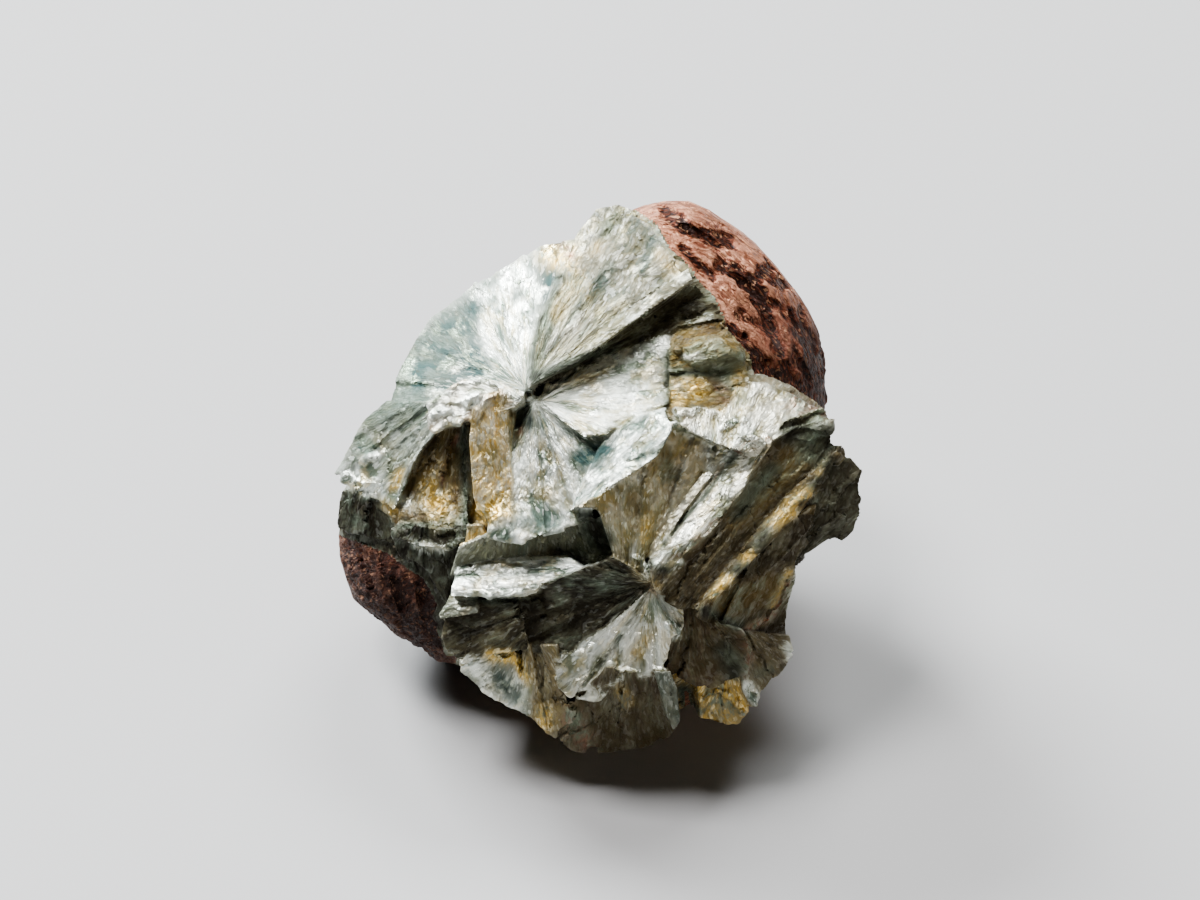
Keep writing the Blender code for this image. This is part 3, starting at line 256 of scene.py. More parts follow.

# Patches of one tone laid over the fans' own, each along a line on the face. A later one covers
# an earlier one. A few stand for light: some pale patches are painted highlight, and some dark
# patches are painted shade, as marked below.
Stain = namedtuple("Stain", "tone start end radius strength")
STAINS = [
    Stain("teal", (-8.3, 3.6), (-6.2, 6.6), 1.3, 0.85),
    Stain("dark", (-8.5, 3.4), (-6.4, 6.8), 1.4, 0.45),
    # Painted highlight: the bright beam up the left disc from its root, in these two pale patches.
    Stain("pale", (-3.3, 4.2), (-3.6, 8.2), 0.8, 1.0),
    Stain("pale", (-4.4, 4.4), (-4.9, 7.7), 0.35, 0.8),
    Stain("gold", (-2.2, 9.4), (-1.4, 9.0), 0.55, 0.9),
    Stain("russet", (-1.6, 9.6), (-1.2, 9.0), 0.25, 0.8),
    Stain("teal", (-7.6, 3.8), (-7.9, 4.5), 0.35, 1.0),
    Stain("teal", (-7.7, 4.5), (-6.9, 4.5), 0.16, 1.0),
    Stain("teal", (-5.4, 5.0), (-4.8, 4.3), 0.40, 0.9),
    Stain("teal", (-6.5, 6.1), (-5.7, 6.1), 0.30, 0.9),
    Stain("teal", (-5.3, 6.8), (-5.2, 6.9), 0.32, 1.0),
    Stain("teal", (-7.2, 5.4), (-6.5, 5.1), 0.18, 0.8),
    Stain("teal", (-6.2, 5.0), (-6.4, 4.4), 0.22, 0.8),
    Stain("teal", (-3.6, 7.3), (-3.2, 7.6), 0.20, 0.7),
    Stain("teal", (-4.1, 5.9), (-3.6, 5.1), 0.14, 0.5),
    Stain("olive", (-2.2, 6.6), (-2.6, 4.4), 0.34, 0.9),
    Stain("gold", (-1.7, 6.8), (-0.9, 7.9), 0.45, 0.5),
    Stain("teal", (-1.2, 6.4), (-0.9, 7.1), 0.25, 0.6),
    Stain("teal", (0.0, 7.8), (0.4, 8.5), 0.30, 0.6),
    Stain("dark", (0.0, 9.7), (0.7, 10.6), 0.22, 0.9),
    Stain("dark", (-2.7, 4.0), (-2.55, 5.2), 0.26, 1.0),
    Stain("dark", (-2.5, 5.0), (-2.3, 6.1), 0.36, 1.0),
    Stain("dark", (-2.4, 6.2), (-1.6, 8.2), 0.18, 0.85),
    Stain("olive", (-1.8, 6.4), (-1.1, 8.0), 0.34, 0.7),
    Stain("olive", (-1.4, 5.0), (0.9, 6.9), 0.36, 0.55),
    Stain("gold", (-0.3, 9.2), (0.0, 9.5), 0.22, 0.5),
    Stain("teal", (1.8, 8.4), (2.2, 9.6), 0.25, 0.8),
    Stain("gold", (2.5, 9.0), (3.0, 8.5), 0.25, 0.5),
    Stain("pale", (1.2, 6.3), (1.9, 6.6), 0.10, 0.9),
    Stain("pale", (3.7, 6.1), (4.6, 6.6), 0.10, 1.0),
    Stain("teal", (0.4, 3.8), (1.4, 4.4), 0.30, 0.3),
    Stain("gold", (-0.4, 3.8), (-0.1, 3.5), 0.20, 0.4),
    Stain("olive", (0.0, 1.6), (1.3, 2.3), 0.12, 1.0),
    Stain("pale", (1.4, 3.2), (2.5, 3.2), 0.30, 1.0),
    Stain("olive", (3.2, 4.5), (5.6, 4.5), 0.65, 1.0),
    # Painted shade in the crease between the olive knob's lobes.
    Stain("dark", (3.0, 4.15), (5.2, 4.15), 0.16, 0.85),
    Stain("dark", (4.0, 4.6), (5.6, 4.6), 0.30, 0.45),
    Stain("olive", (-3.5, 2.9), (-3.2, 1.4), 0.30, 0.9),
    Stain("dark", (4.9, 3.9), (5.7, 3.2), 0.35, 0.55),
    Stain("pale", (3.6, 4.9), (4.0, 4.9), 0.12, 0.9),
    Stain("pale", (4.4, 5.2), (5.0, 5.4), 0.10, 0.9),
    Stain("gold", (3.1, 3.4), (4.1, 3.4), 0.45, 1.0),
    Stain("pale", (3.1, 3.7), (3.5, 3.3), 0.15, 0.6),
    Stain("dark", (2.75, 5.1), (2.75, 2.9), 0.10, 0.9),
    Stain("russet", (4.6, 3.6), (5.2, 3.2), 0.35, 0.5),
    Stain("gold", (5.5, 3.3), (5.8, 4.2), 0.20, 0.6),
    # Painted highlight: the bright spot in the centre field.
    Stain("pale", (-2.3, 1.5), (-2.2, 0.4), 0.65, 1.0),
    Stain("teal", (-0.8, 0.6), (0.1, 1.0), 0.45, 1.0),
    Stain("teal", (-3.0, 2.2), (-2.6, 1.9), 0.30, 0.6),
    Stain("russet", (-3.3, 1.9), (-3.1, 1.5), 0.12, 0.8),
    Stain("olive", (-3.5, 2.4), (-3.8, 1.4), 0.25, 0.7),
    Stain("gold", (-2.4, -0.7), (-1.9, -0.8), 0.25, 0.5),
    Stain("teal", (-3.2, -1.7), (-2.0, -2.0), 0.40, 0.6),
    Stain("teal", (1.0, 0.2), (1.9, 0.9), 0.20, 0.6),
    Stain("olive", (2.6, 0.9), (2.9, 0.0), 0.30, 0.8),
    Stain("gold", (1.9, -1.6), (1.8, -2.7), 0.22, 0.6),
    Stain("olive", (1.0, -0.6), (1.6, -1.4), 0.40, 0.6),
    Stain("pale", (1.3, -3.0), (1.6, -3.2), 0.25, 0.6),
    Stain("russet", (8.0, 3.2), (9.2, 2.4), 0.18, 0.7),
    Stain("gold", (3.3, 2.5), (5.0, 2.6), 0.20, 0.5),
    Stain("gold", (5.2, 0.2), (6.3, 1.2), 0.14, 0.7),
    Stain("russet", (3.0, -3.2), (4.0, -2.7), 0.18, 0.8),
    Stain("russet", (4.3, -2.3), (5.5, -0.9), 0.14, 0.7),
    Stain("olive", (5.5, -1.6), (8.5, 1.2), 0.55, 0.8),
    Stain("gold", (4.6, -4.9), (5.3, -4.1), 0.20, 1.0),
    Stain("gold", (5.8, -3.6), (6.3, -3.2), 0.16, 0.9),
    Stain("gold", (7.0, -2.0), (7.9, -1.5), 0.24, 1.0),
    Stain("gold", (7.8, -1.1), (8.7, -0.6), 0.22, 1.0),
    Stain("gold", (8.9, -0.2), (9.2, 0.6), 0.14, 0.7),
    Stain("dark", (5.4, -4.0), (5.8, -3.7), 0.22, 0.8),
    Stain("dark", (6.4, -3.0), (6.9, -2.3), 0.26, 0.8),
    Stain("dark", (8.7, -0.5), (9.0, -0.2), 0.20, 0.8),
    Stain("pale", (8.2, -0.9), (8.5, -0.7), 0.09, 0.8),
    Stain("russet", (8.0, 2.9), (9.2, 2.2), 0.40, 0.6),
    Stain("dark", (7.9, 1.8), (9.3, 1.6), 0.55, 0.75),
    Stain("pale", (4.7, 0.3), (6.1, 1.4), 0.42, 0.9),
    Stain("russet", (4.6, -0.2), (5.9, 1.3), 0.12, 0.8),
    Stain("dark", (8.6, 1.0), (9.4, 0.4), 0.40, 0.6),
    Stain("dark", (5.6, -1.6), (7.0, 0.2), 0.30, 0.6),
    Stain("pale", (7.3, -1.8), (7.6, -1.5), 0.10, 0.9),
    Stain("pale", (5.0, -4.6), (5.2, -4.4), 0.08, 0.9),
    Stain("gold", (7.1, -5.4), (7.8, -4.0), 0.16, 0.8),
    Stain("russet", (6.0, -6.3), (7.1, -5.8), 0.12, 0.9),
    Stain("pale", (8.1, -4.0), (7.8, -5.6), 0.10, 0.7),
    Stain("olive", (5.2, -5.4), (7.0, -4.6), 0.60, 0.8),
    Stain("pale", (-0.9, -7.3), (-0.3, -6.9), 0.16, 1.0),
    Stain("pale", (0.7, -6.2), (0.8, -7.1), 0.14, 1.0),
    Stain("pale", (2.9, -6.1), (3.1, -6.6), 0.22, 1.0),
    Stain("gold", (1.4, -7.4), (1.9, -6.6), 0.28, 0.6),
    Stain("teal", (2.3, -5.3), (2.7, -5.9), 0.28, 0.5),
    Stain("gold", (0.9, -8.9), (1.1, -9.3), 0.30, 0.5),
    Stain("russet", (-1.2, -10.0), (-0.5, -11.2), 0.50, 0.7),
    Stain("gold", (-4.6, -7.5), (-3.5, -7.4), 0.24, 1.0),
    Stain("gold", (-3.4, -7.5), (-3.0, -8.4), 0.20, 1.0),
    Stain("pale", (-5.6, -7.8), (-5.3, -7.7), 0.25, 1.0),
    Stain("pale", (-4.8, -8.9), (-3.2, -9.9), 0.14, 1.0),
    Stain("teal", (-4.1, -8.4), (-3.5, -9.2), 0.28, 0.8),
    Stain("gold", (-2.3, -9.8), (-2.3, -10.3), 0.35, 0.8),
    Stain("teal", (5.3, -9.4), (5.8, -9.9), 0.16, 0.8),
    Stain("pale", (6.1, -8.9), (6.4, -9.4), 0.20, 1.0),
    Stain("teal", (6.5, -8.2), (7.0, -8.0), 0.28, 0.6),
    Stain("pale", (7.7, -7.1), (7.8, -7.5), 0.22, 0.9),
    Stain("pale", (-10.5, 0.2), (-9.3, -0.5), 0.45, 1.0),
    Stain("pale", (-9.7, 0.6), (-9.2, 0.9), 0.25, 1.0),
    Stain("teal", (-9.9, 1.4), (-9.5, 1.0), 0.28, 0.9),
    Stain("gold", (-8.5, -0.5), (-8.2, 0.1), 0.20, 1.0),
    Stain("gold", (-8.9, -1.3), (-8.5, -1.6), 0.22, 0.7),
    Stain("pale", (-8.4, -0.8), (-7.9, -1.2), 0.18, 1.0),
    Stain("gold", (-6.8, -0.4), (-6.5, -1.9), 0.50, 0.8),
    Stain("dark", (-7.9, -2.2), (-5.6, -2.0), 0.30, 0.6),
    Stain("russet", (-5.6, 1.8), (-5.9, 1.3), 0.22, 0.9),
    Stain("russet", (-6.5, -0.2), (-6.3, -0.5), 0.20, 0.7),
    Stain("pale", (-7.0, 2.5), (-6.3, 2.4), 0.28, 0.8),
    Stain("pale", (-5.4, 3.1), (-5.0, 3.2), 0.25, 0.9),
    Stain("olive", (-4.3, 0.9), (-4.5, 0.2), 0.30, 0.8),
    Stain("gold", (-4.0, -1.0), (-4.6, -1.6), 0.40, 1.0),
    Stain("pale", (-7.6, -2.9), (-6.4, -3.1), 0.16, 0.8),
    Stain("gold", (-3.4, -4.5), (-2.9, -4.7), 0.20, 0.5),
    Stain("pale", (-4.8, -4.6), (-3.5, -4.6), 0.20, 1.0),
    Stain("gold", (1.6, -3.9), (2.2, -4.6), 0.25, 0.5),
    # Painted shade in the slot under the upper wedge.
    Stain("dark", (-2.6, 4.0), (0.6, 5.2), 0.20, 1.0),
    Stain("dark", (2.5, -3.0), (3.3, -1.95), 0.09, 1.0),
    Stain("dark", (3.3, -1.95), (4.5, -0.55), 0.09, 1.0),
    Stain("dark", (4.5, -0.55), (5.7, 1.0), 0.09, 1.0),
    Stain("russet", (5.6, 0.9), (7.0, 1.5), 0.14, 0.7),
    Stain("dark", (2.1, -3.6), (2.7, -3.8), 0.20, 1.0),
    # Painted shade in the small hollow at the right end of the green overhang.
    Stain("dark", (-0.4, -2.0), (0.1, -2.7), 0.45, 1.0),
    # Painted shade down the left wall of the tan slab.
    Stain("dark", (-5.6, 1.9), (-5.5, -2.0), 0.18, 0.9),
    Stain("dark", (-5.2, -5.1), (-3.0, -5.1), 0.18, 1.0),
    Stain("dark", (-1.6, -4.6), (0.6, -4.4), 0.45, 0.8),
    Stain("dark", (3.4, -8.9), (3.8, -9.8), 0.30, 1.0),
    Stain("dark", (5.2, -7.2), (5.6, -8.0), 0.45, 0.8),
    Stain("dark", (4.2, -5.5), (6.0, -6.4), 0.16, 0.9),
    Stain("dark", (-9.7, -1.0), (-9.4, -2.2), 0.28, 1.0),
    Stain("dark", (-10.4, -1.0), (-10.1, -1.9), 0.24, 1.0),
]
# Patches on the rind. The dark ones are painted shade on the lower left and lower right of the
# rind, which turn away from the lights, and the russet ones beside them are partly painted shade.
RIND_STAINS = [
    Stain("russet", (-10.4, -3.4), (-7.0, -5.6), 2.4, 0.9),
    Stain("dark", (-10.2, -4.8), (-7.0, -7.6), 2.4, 0.85),
    Stain("dark", (8.7, 5.4), (9.9, 2.4), 1.1, 0.95),
    Stain("russet", (7.4, 5.6), (9.0, 3.4), 1.2, 0.7),
]
# How ragged a stain's edge is, as a share of its radius, and the length of the raggedness, in mm.
STAIN_RAGGED = 0.45
STAIN_LENGTH = 0.45

# Rounded ribs, lips and crumbs that lie on the top of a fan. Each follows a line on the face, with
# its middle lifted off the fan's top, and has a tone of its own.
Rib = namedtuple("Rib", "fan line radius lift tone strength")
RIBS = [
    Rib("left_rim", [(-7.0, 2.8), (-6.3, 3.35), (-5.5, 3.75), (-4.8, 3.85), (-4.2, 3.6), (-3.6, 3.3)],
        0.13, 0.03, "pale", 0.6),
    Rib("left_rim", [(-5.4, 2.95), (-5.1, 3.1), (-4.8, 3.1)], 0.26, 0.10, "pale", 1.0),
    Rib("left_rim", [(-6.9, 2.3), (-6.5, 2.6), (-6.1, 2.5)], 0.20, 0.05, "pale", 0.8),
    Rib("left_rim", [(-3.4, 2.8), (-3.2, 3.15)], 0.17, 0.12, "pale", 1.0),
    Rib("left_slope", [(-8.3, -0.8), (-7.8, 0.3), (-7.2, 1.3), (-6.7, 1.85)], 0.10, -0.03, "pale", 0.4),
    Rib("left_rim", [(-6.8, 1.75), (-6.3, 2.0), (-5.7, 2.05)], 0.11, -0.02, "pale", 0.5),
    Rib("left_slope", [(-10.6, -0.2), (-9.9, -0.45), (-9.2, -0.5)], 0.30, -0.05, "pale", 0.9),
    Rib("left_slope", [(-9.8, 0.4), (-9.3, 0.7)], 0.24, 0.0, "pale", 0.9),
    Rib("olive_hollow", [(-8.2, -1.0), (-7.9, -1.2)], 0.18, 0.05, "pale", 0.8),
    Rib("tan_slab", [(-4.9, -1.5), (-4.3, -1.6), (-3.7, -1.45)], 0.26, -0.06, "gold", 0.8),
    Rib("tan_slab", [(-5.2, 2.3), (-4.7, 3.1), (-4.1, 3.3), (-3.6, 3.0)], 0.20, -0.05, "russet", 0.4),
    Rib("white_ledge", [(-5.9, -4.7), (-4.5, -4.85), (-3.2, -4.8), (-2.6, -4.6)], 0.17, 0.0, "pale",
        0.9),
    Rib("white_ledge", [(-5.7, -4.0), (-4.9, -3.75), (-4.0, -3.7)], 0.14, 0.0, "pale", 0.8),
    Rib("ridge_dark_side", [(3.0, 2.0), (3.9, 1.75), (4.65, 1.4), (4.5, 0.95)], 0.18, 0.08, "pale",
        0.8),
    Rib("golden_band", [(4.7, -4.85), (5.0, -4.5), (5.3, -4.3)], 0.14, 0.02, "gold", 0.8),
    Rib("golden_band", [(5.9, -3.5), (6.2, -3.2)], 0.12, 0.03, "gold", 0.6),
    Rib("golden_band", [(7.15, -1.95), (7.35, -1.65), (7.8, -1.6)], 0.17, 0.05, "gold", 0.9),
    Rib("golden_band", [(7.9, -1.15), (8.2, -0.8), (8.6, -0.75)], 0.15, 0.03, "gold", 0.8),
    Rib("right_cheek", [(5.9, -6.4), (6.9, -6.0), (7.4, -5.3), (7.8, -4.3)], 0.10, 0.02, "russet",
        0.9),
    Rib("right_foot", [(6.05, -8.7), (6.45, -9.4)], 0.20, 0.0, "pale", 1.0),
    Rib("right_foot", [(5.9, -8.3), (6.2, -7.4), (6.0, -6.9)], 0.12, 0.05, "russet", 0.6),
    Rib("olive_knob", [(3.1, 4.9), (4.0, 5.2), (5.0, 5.3)], 0.28, -0.12, "olive", 0.8),
    Rib("olive_knob", [(3.5, 4.85), (4.1, 4.85)], 0.10, 0.10, "pale", 0.9),
    Rib("crown_face", [(5.0, 1.9), (5.5, 2.2), (5.9, 2.15)], 0.20, 0.05, "pale", 1.0),
    Rib("crown_face", [(3.2, 2.4), (3.9, 2.6), (4.7, 2.5)], 0.16, 0.0, "pale", 0.7),
    Rib("broad_side", [(2.3, -3.5), (2.8, -3.6), (3.3, -3.55)], 0.13, 0.05, "pale", 0.9),
    Rib("right_stripe", [(2.5, -3.25), (3.0, -3.1), (3.5, -2.85)], 0.12, 0.05, "pale", 0.8),
    Rib("ridge_dark_side", [(1.4, -3.4), (1.8, -3.8), (1.9, -4.1)], 0.18, 0.1, "pale", 0.7),
    Rib("bottom_fan", [(1.7, -4.9), (2.0, -4.6), (2.3, -4.8)], 0.16, 0.0, "russet", 0.5),
    Rib("bottom_fan", [(2.8, -6.1), (3.15, -6.4)], 0.20, 0.05, "pale", 1.0),
    Rib("bottom_fan", [(-0.9, -7.35), (-0.4, -7.0)], 0.18, 0.0, "pale", 1.0),
    Rib("silver_corner", [(-5.6, -7.85), (-5.2, -7.75)], 0.26, 0.0, "pale", 1.0),
    Rib("silver_corner", [(-4.5, -7.3), (-4.0, -7.6), (-3.4, -7.5), (-3.2, -8.2)], 0.15, 0.05,
        "gold", 1.0),
    Rib("golden_knob", [(4.2, -9.1), (5.0, -8.9), (5.6, -9.3), (5.9, -9.7)], 0.18, 0.0, "gold", 0.9),
    Rib("upper_wedge", [(-2.55, 4.4), (-2.5, 5.2), (-2.3, 6.1)], 0.13, 0.0, "olive", 0.8),
    Rib("upper_wedge", [(0.2, 9.9), (0.6, 10.5), (0.9, 10.8)], 0.12, 0.05, "olive", 0.6),
    Rib("right_fan", [(-2.3, 3.5), (-1.9, 3.7), (-1.3, 3.75)], 0.12, 0.03, "pale", 0.8),
    Rib("right_fan", [(-2.5, 3.1), (-2.2, 3.5)], 0.10, 0.05, "olive", 0.7),
]
# A rib is a tube with this many sides, and a ring of corners about every so many mm. The lumps
# are a share of its radius.
RIB_SIDES = 7
RIB_STEP = 0.28
RIB_LUMPS = 0.5
# How far a rib's own tone reaches, in its radii.
RIB_COVER = 1.15

# Blades too low in a crack to be drawn as a fan of their own. Each has the outline and the plane
# of its top, written as a fan's are, and how far down it reaches.
Fill = namedtuple("Fill", "outline anchor slope depth")
FILLS = [
    Fill([(2.3, -3.2), (3.3, -1.8), (4.5, -0.15), (5.7, 1.4), (6.2, 1.5), (6.0, 1.1),
          (4.75, -0.45), (3.55, -2.0), (2.6, -3.4)], (4.0, -0.9, 6.55), (0.46, -0.53), 3.0),
    Fill([(2.4, 2.4), (3.2, 2.2), (3.5, 2.8), (3.0, 3.3), (2.6, 3.2)],
         (-2.4, 3.2, 5.35), (0.0, -0.85), 3.0),
    Fill([(-2.9, 3.3), (-2.5, 4.0), (-1.2, 4.5), (0.4, 5.0), (0.6, 4.7), (-1.0, 4.2),
          (-2.2, 3.5)], (-2.4, 3.2, 5.2), (0.0, -0.85), 3.0),
    Fill([(1.6, -4.2), (2.2, -3.6), (2.6, -4.0), (2.4, -4.9), (1.8, -4.9)],
         (2.0, -4.7, 6.7), (0.2, 0.2), 3.0),
    Fill([(-8.2, -0.9), (-7.2, -0.2), (-6.2, 0.1), (-5.45, -0.1), (-5.4, -2.6), (-6.2, -3.1),
          (-7.3, -3.0), (-8.4, -2.6)], (-6.9, -2.3, 4.55), (0.36, -0.36), 2.0),
    Fill([(6.2, -3.7), (7.4, -2.4), (8.5, -1.3), (8.9, -1.2), (8.7, -2.2), (7.6, -3.3),
          (6.7, -4.2)], (7.5, -2.7, 5.25), (-0.8, 0.3), 3.0),
    Fill([(-2.80, 3.70), (-2.50, 6.3), (-1.6, 8.0), (-1.0, 9.85), (-0.2, 10.7), (0.6, 10.85),
          (1.05, 10.6), (2.0, 10.0), (2.5, 9.1), (3.3, 8.4), (3.65, 7.88), (2.33, 7.55),
          (1.03, 6.55), (0.03, 5.45), (-0.97, 4.55)], (-2.9, 3.6, 6.25), (0.10, -0.475), 1.5),
    Fill([(-3.7, 3.3), (-2.6, 3.3), (-2.6, 1.8), (-3.3, 1.0), (-3.75, 1.9)],
         (-3.1, 2.4, 5.55), (0.1, -0.2), 2.5),
    Fill([(4.2, 0.1), (5.1, 1.6), (6.3, 1.6), (6.8, 1.3), (5.7, -0.2), (4.8, -0.5)],
         (5.2, 0.3, 6.72), (0.25, 0.31), 2.0),
    Fill([(4.4, -5.5), (5.3, -4.5), (6.3, -3.7), (6.7, -4.2), (6.1, -5.3), (5.5, -6.2),
          (4.9, -6.1)], (5.7, -4.8, 5.85), (-0.9, 0.4), 3.0),
    Fill([(7.5, 1.5), (8.1, 2.6), (9.2, 2.5), (9.5, 1.9), (8.6, 1.3)],
         (8.5, 2.1, 5.12), (-0.62, -0.3), 2.0),
]

# Rounded knobs: the middle of each, how far out it is, and its radii across, up and out.
Knob = namedtuple("Knob", "middle radii")
KNOBS = [
    Knob((4.40, 4.85, 4.85), (1.55, 0.90, 0.78)),
    Knob((3.80, 3.55, 4.85), (1.05, 0.75, 0.75)),
    Knob((5.20, 3.60, 4.65), (0.85, 0.85, 0.70)),
    Knob((8.55, 2.00, 4.70), (1.15, 0.55, 0.65)),
    Knob((9.60, 0.80, 4.10), (0.42, 0.40, 0.60)),
    Knob((7.45, -1.75, 5.55), (0.40, 0.26, 0.30)),
    Knob((8.35, -0.80, 5.10), (0.36, 0.28, 0.30)),
    Knob((5.05, -4.50, 6.75), (0.34, 0.28, 0.25)),
    Knob((6.55, -2.65, 5.95), (0.45, 0.30, 0.25)),
]
# How uneven a knob is, as a share of its radii.
KNOB_UNEVEN = 0.16

# Dark ragged furrows in the rind, each along a line on the side of the stone that faces out.
Furrow = namedtuple("Furrow", "start end radius strength")
FURROWS = [
    Furrow((2.7, 10.9), (3.6, 10.3), 0.34, 0.8),
    Furrow((3.6, 10.3), (5.4, 9.5), 0.32, 0.8),
    Furrow((3.4, 9.3), (4.7, 8.1), 0.20, 0.7),
    Furrow((5.1, 8.6), (6.5, 8.1), 0.34, 0.8),
    Furrow((6.2, 7.9), (6.8, 7.0), 0.48, 1.0),
    Furrow((6.8, 7.0), (7.1, 5.9), 0.42, 1.0),
    Furrow((6.8, 8.5), (7.6, 7.8), 0.34, 0.8),
    Furrow((7.1, 5.8), (7.5, 5.0), 0.26, 0.8),
    Furrow((5.4, 5.7), (6.0, 5.2), 0.40, 0.8),
    Furrow((6.0, 5.0), (7.3, 3.9), 0.42, 0.9),
    Furrow((8.0, 6.6), (8.8, 5.0), 0.48, 0.9),
    # These two broad furrows at the lower right are cut into the rind, and their dark stands for
    # painted shade where the rind turns away from the lights.
    Furrow((8.7, 5.0), (9.4, 3.4), 0.80, 0.9),
    Furrow((7.6, 4.2), (9.3, 2.7), 0.55, 0.8),
    Furrow((4.4, 9.6), (5.2, 8.9), 0.22, 0.5),
    Furrow((5.9, 6.6), (6.6, 6.1), 0.26, 0.7),
    Furrow((-10.4, -3.2), (-9.0, -6.4), 0.55, 0.6),
    Furrow((-8.8, -3.4), (-7.4, -7.2), 0.65, 0.7),
    Furrow((-7.4, -4.2), (-6.6, -6.9), 0.50, 0.7),
]
# How ragged a furrow's edge is, and the length of the raggedness, as for a stain.
FURROW_RAGGED = 0.9
FURROW_LENGTH = 0.6
# The furrows above stop this far back, in mm.
FACING_OUT = -5.0

# Behind this, the rind has broken hollows and a russet tone instead. A hollow has its usual size,
# and that of its ragged edge, across, up and out.
BEHIND = -2.5
BACK_HOLLOW = (3.4, 3.4, 1.5)
BACK_HOLLOW_EDGE = (1.1, 1.1, 0.5)
BACK_HOLLOW_RAGGED = 0.45
BACK_HOLLOW_LEAST = 0.03
BACK_HOLLOW_SLOPE = 1.8
BACK_HOLLOW_MOST = 0.9
BACK_RUSSET = 0.5


# ---- settings -----------------------------------------------------------------------------------


class StoneSettings(PropertyGroup):
    """Sizes and colours of the broken face and of the rind."""

    grain: FloatProperty(
        name="Mesh grain", description="Size of the stone's mesh cells before it is thinned",
        default=0.000075, min=0.00005, unit="LENGTH")
    triangles: IntProperty(
        name="Triangles", description="The stone is thinned to about this many triangles",
        default=190000, min=20000)
    plate_width: FloatProperty(
        name="Plate width", description="Width of the plates that the blades break into",
        default=0.0013, unit="LENGTH")
    plate_length: FloatProperty(
        name="Plate length", description="Length of the plates along the fibres",
        default=0.0030, unit="LENGTH")
    plate_height: FloatProperty(
        name="Plate height", description="How far one plate stands above the next",
        default=0.00016, unit="LENGTH")
    lath_width: FloatProperty(
        name="Lath width", description="Width of the flat laths that a blade splits into",
        default=0.0005, unit="LENGTH")
    lath_length: FloatProperty(
        name="Lath length", description="Length of the laths along the fibres",
        default=0.0032, unit="LENGTH")
    lath_height: FloatProperty(
        name="Lath height", description="How far one lath stands above the next",
        default=0.00005, unit="LENGTH")
    fibre_width: FloatProperty(
        name="Fibre width", description="Width of the fine fibres on a lath",
        default=0.00014, unit="LENGTH")
    fibre_height: FloatProperty(
        name="Fibre height", description="Height of the fine fibres", default=0.000022,
        unit="LENGTH")
    pit_size: FloatProperty(
        name="Pit size", description="Size of the pits in the rind", default=0.00030,
        unit="LENGTH")
    pit_depth: FloatProperty(
        name="Pit depth", description="Depth of the rind's pits and wrinkles", default=0.00013,
        unit="LENGTH")
    silver: FloatVectorProperty(
        name="Silver", description="Pale pearly blades", subtype="COLOR", size=4,
        default=(0.76, 0.80, 0.72, 1), min=0, max=1)
    green: FloatVectorProperty(
        name="Grey green", description="Ordinary blades", subtype="COLOR", size=4,
        default=(0.150, 0.200, 0.140, 1), min=0, max=1)
    teal: FloatVectorProperty(
        name="Teal", description="Dark teal mottles", subtype="COLOR", size=4,
        default=(0.020, 0.052, 0.048, 1), min=0, max=1)
    olive: FloatVectorProperty(
        name="Olive", description="Olive-brown broken ends", subtype="COLOR", size=4,
        default=(0.090, 0.060, 0.013, 1), min=0, max=1)
    gold: FloatVectorProperty(
        name="Gold", description="Golden iron stain", subtype="COLOR", size=4,
        default=(0.50, 0.30, 0.040, 1), min=0, max=1)
    russet: FloatVectorProperty(
        name="Russet", description="Reddish-brown stain", subtype="COLOR", size=4,
        default=(0.17, 0.055, 0.026, 1), min=0, max=1)
    # The dark rind colour is also laid as painted shade on the lower left and lower right of the rind.
    rind_dark: FloatVectorProperty(
        name="Dark rind", description="Pits and furrows of the rind", subtype="COLOR", size=4,
        default=(0.011, 0.0035, 0.002, 1), min=0, max=1)
    rind_copper: FloatVectorProperty(
        name="Copper rind", description="Most of the rind", subtype="COLOR", size=4,
        default=(0.17, 0.058, 0.026, 1), min=0, max=1)
    # The pink of the rind's high places is partly wear and partly painted highlight.
    rind_pink: FloatVectorProperty(
        name="Pink rind", description="Worn high places of the rind", subtype="COLOR", size=4,
        default=(0.38, 0.175, 0.105, 1), min=0, max=1)


class StageSettings(PropertyGroup):
    """The floor, the lights and the camera."""

    floor: FloatVectorProperty(
        name="Floor", description="Colour of the floor", subtype="COLOR", size=4,
        default=(0.24, 0.237, 0.233, 1), min=0, max=1)
    floor_size: FloatProperty(
        name="Floor size", description="Width of the floor", default=4.0, unit="LENGTH")
    key_power: FloatProperty(
        name="Key light", description="Power of the large light behind and to the left, in watts",
        default=11.0)
    fill_power: FloatProperty(
        name="Fill light", description="Power of the warm light in front, in watts", default=0.25)
    camera_distance: FloatProperty(
        name="Camera distance", description="From the middle of the stone", default=0.32,
        unit="LENGTH")
    view_width: FloatProperty(
        name="View width", description="What the camera sees across, at the stone",
        default=0.05, unit="LENGTH")


# ---- places on the stone ------------------------------------------------------------------------


def face_places(points):
    """Points in metres, as places in the frame of the broken face, in mm."""
    return (points / MM - np.array(FACE_CENTRE)) @ TURN.T


def skin_reach(ways):
    """How far the body's smooth skin is from the heart, in each direction, in mm."""
    reaches = []
    for lobe in LOBES:
        radii = np.array(lobe.radii)
        start = (HEART - np.array(lobe.centre)) / radii
        step = ways / radii
        a = (step * step).sum(1)
        b = step @ start
        under = b * b - a * (start @ start - 1)
        reach = np.where(under < 0, 0, (np.sqrt(np.maximum(under, 0)) - b) / a)
        reaches.append(np.maximum(reach, 0))
    most = np.max(reaches, axis=0)
    most = most + BLEND * np.log(sum(np.exp((r - most) / BLEND) for r in reaches))
    places = HEART + ways * most[:, None]
    for swell in SWELLS:
        apart = np.linalg.norm(places - np.array(swell.place), axis=1) / swell.width
        most += swell.height * np.exp(-apart * apart)
    return most


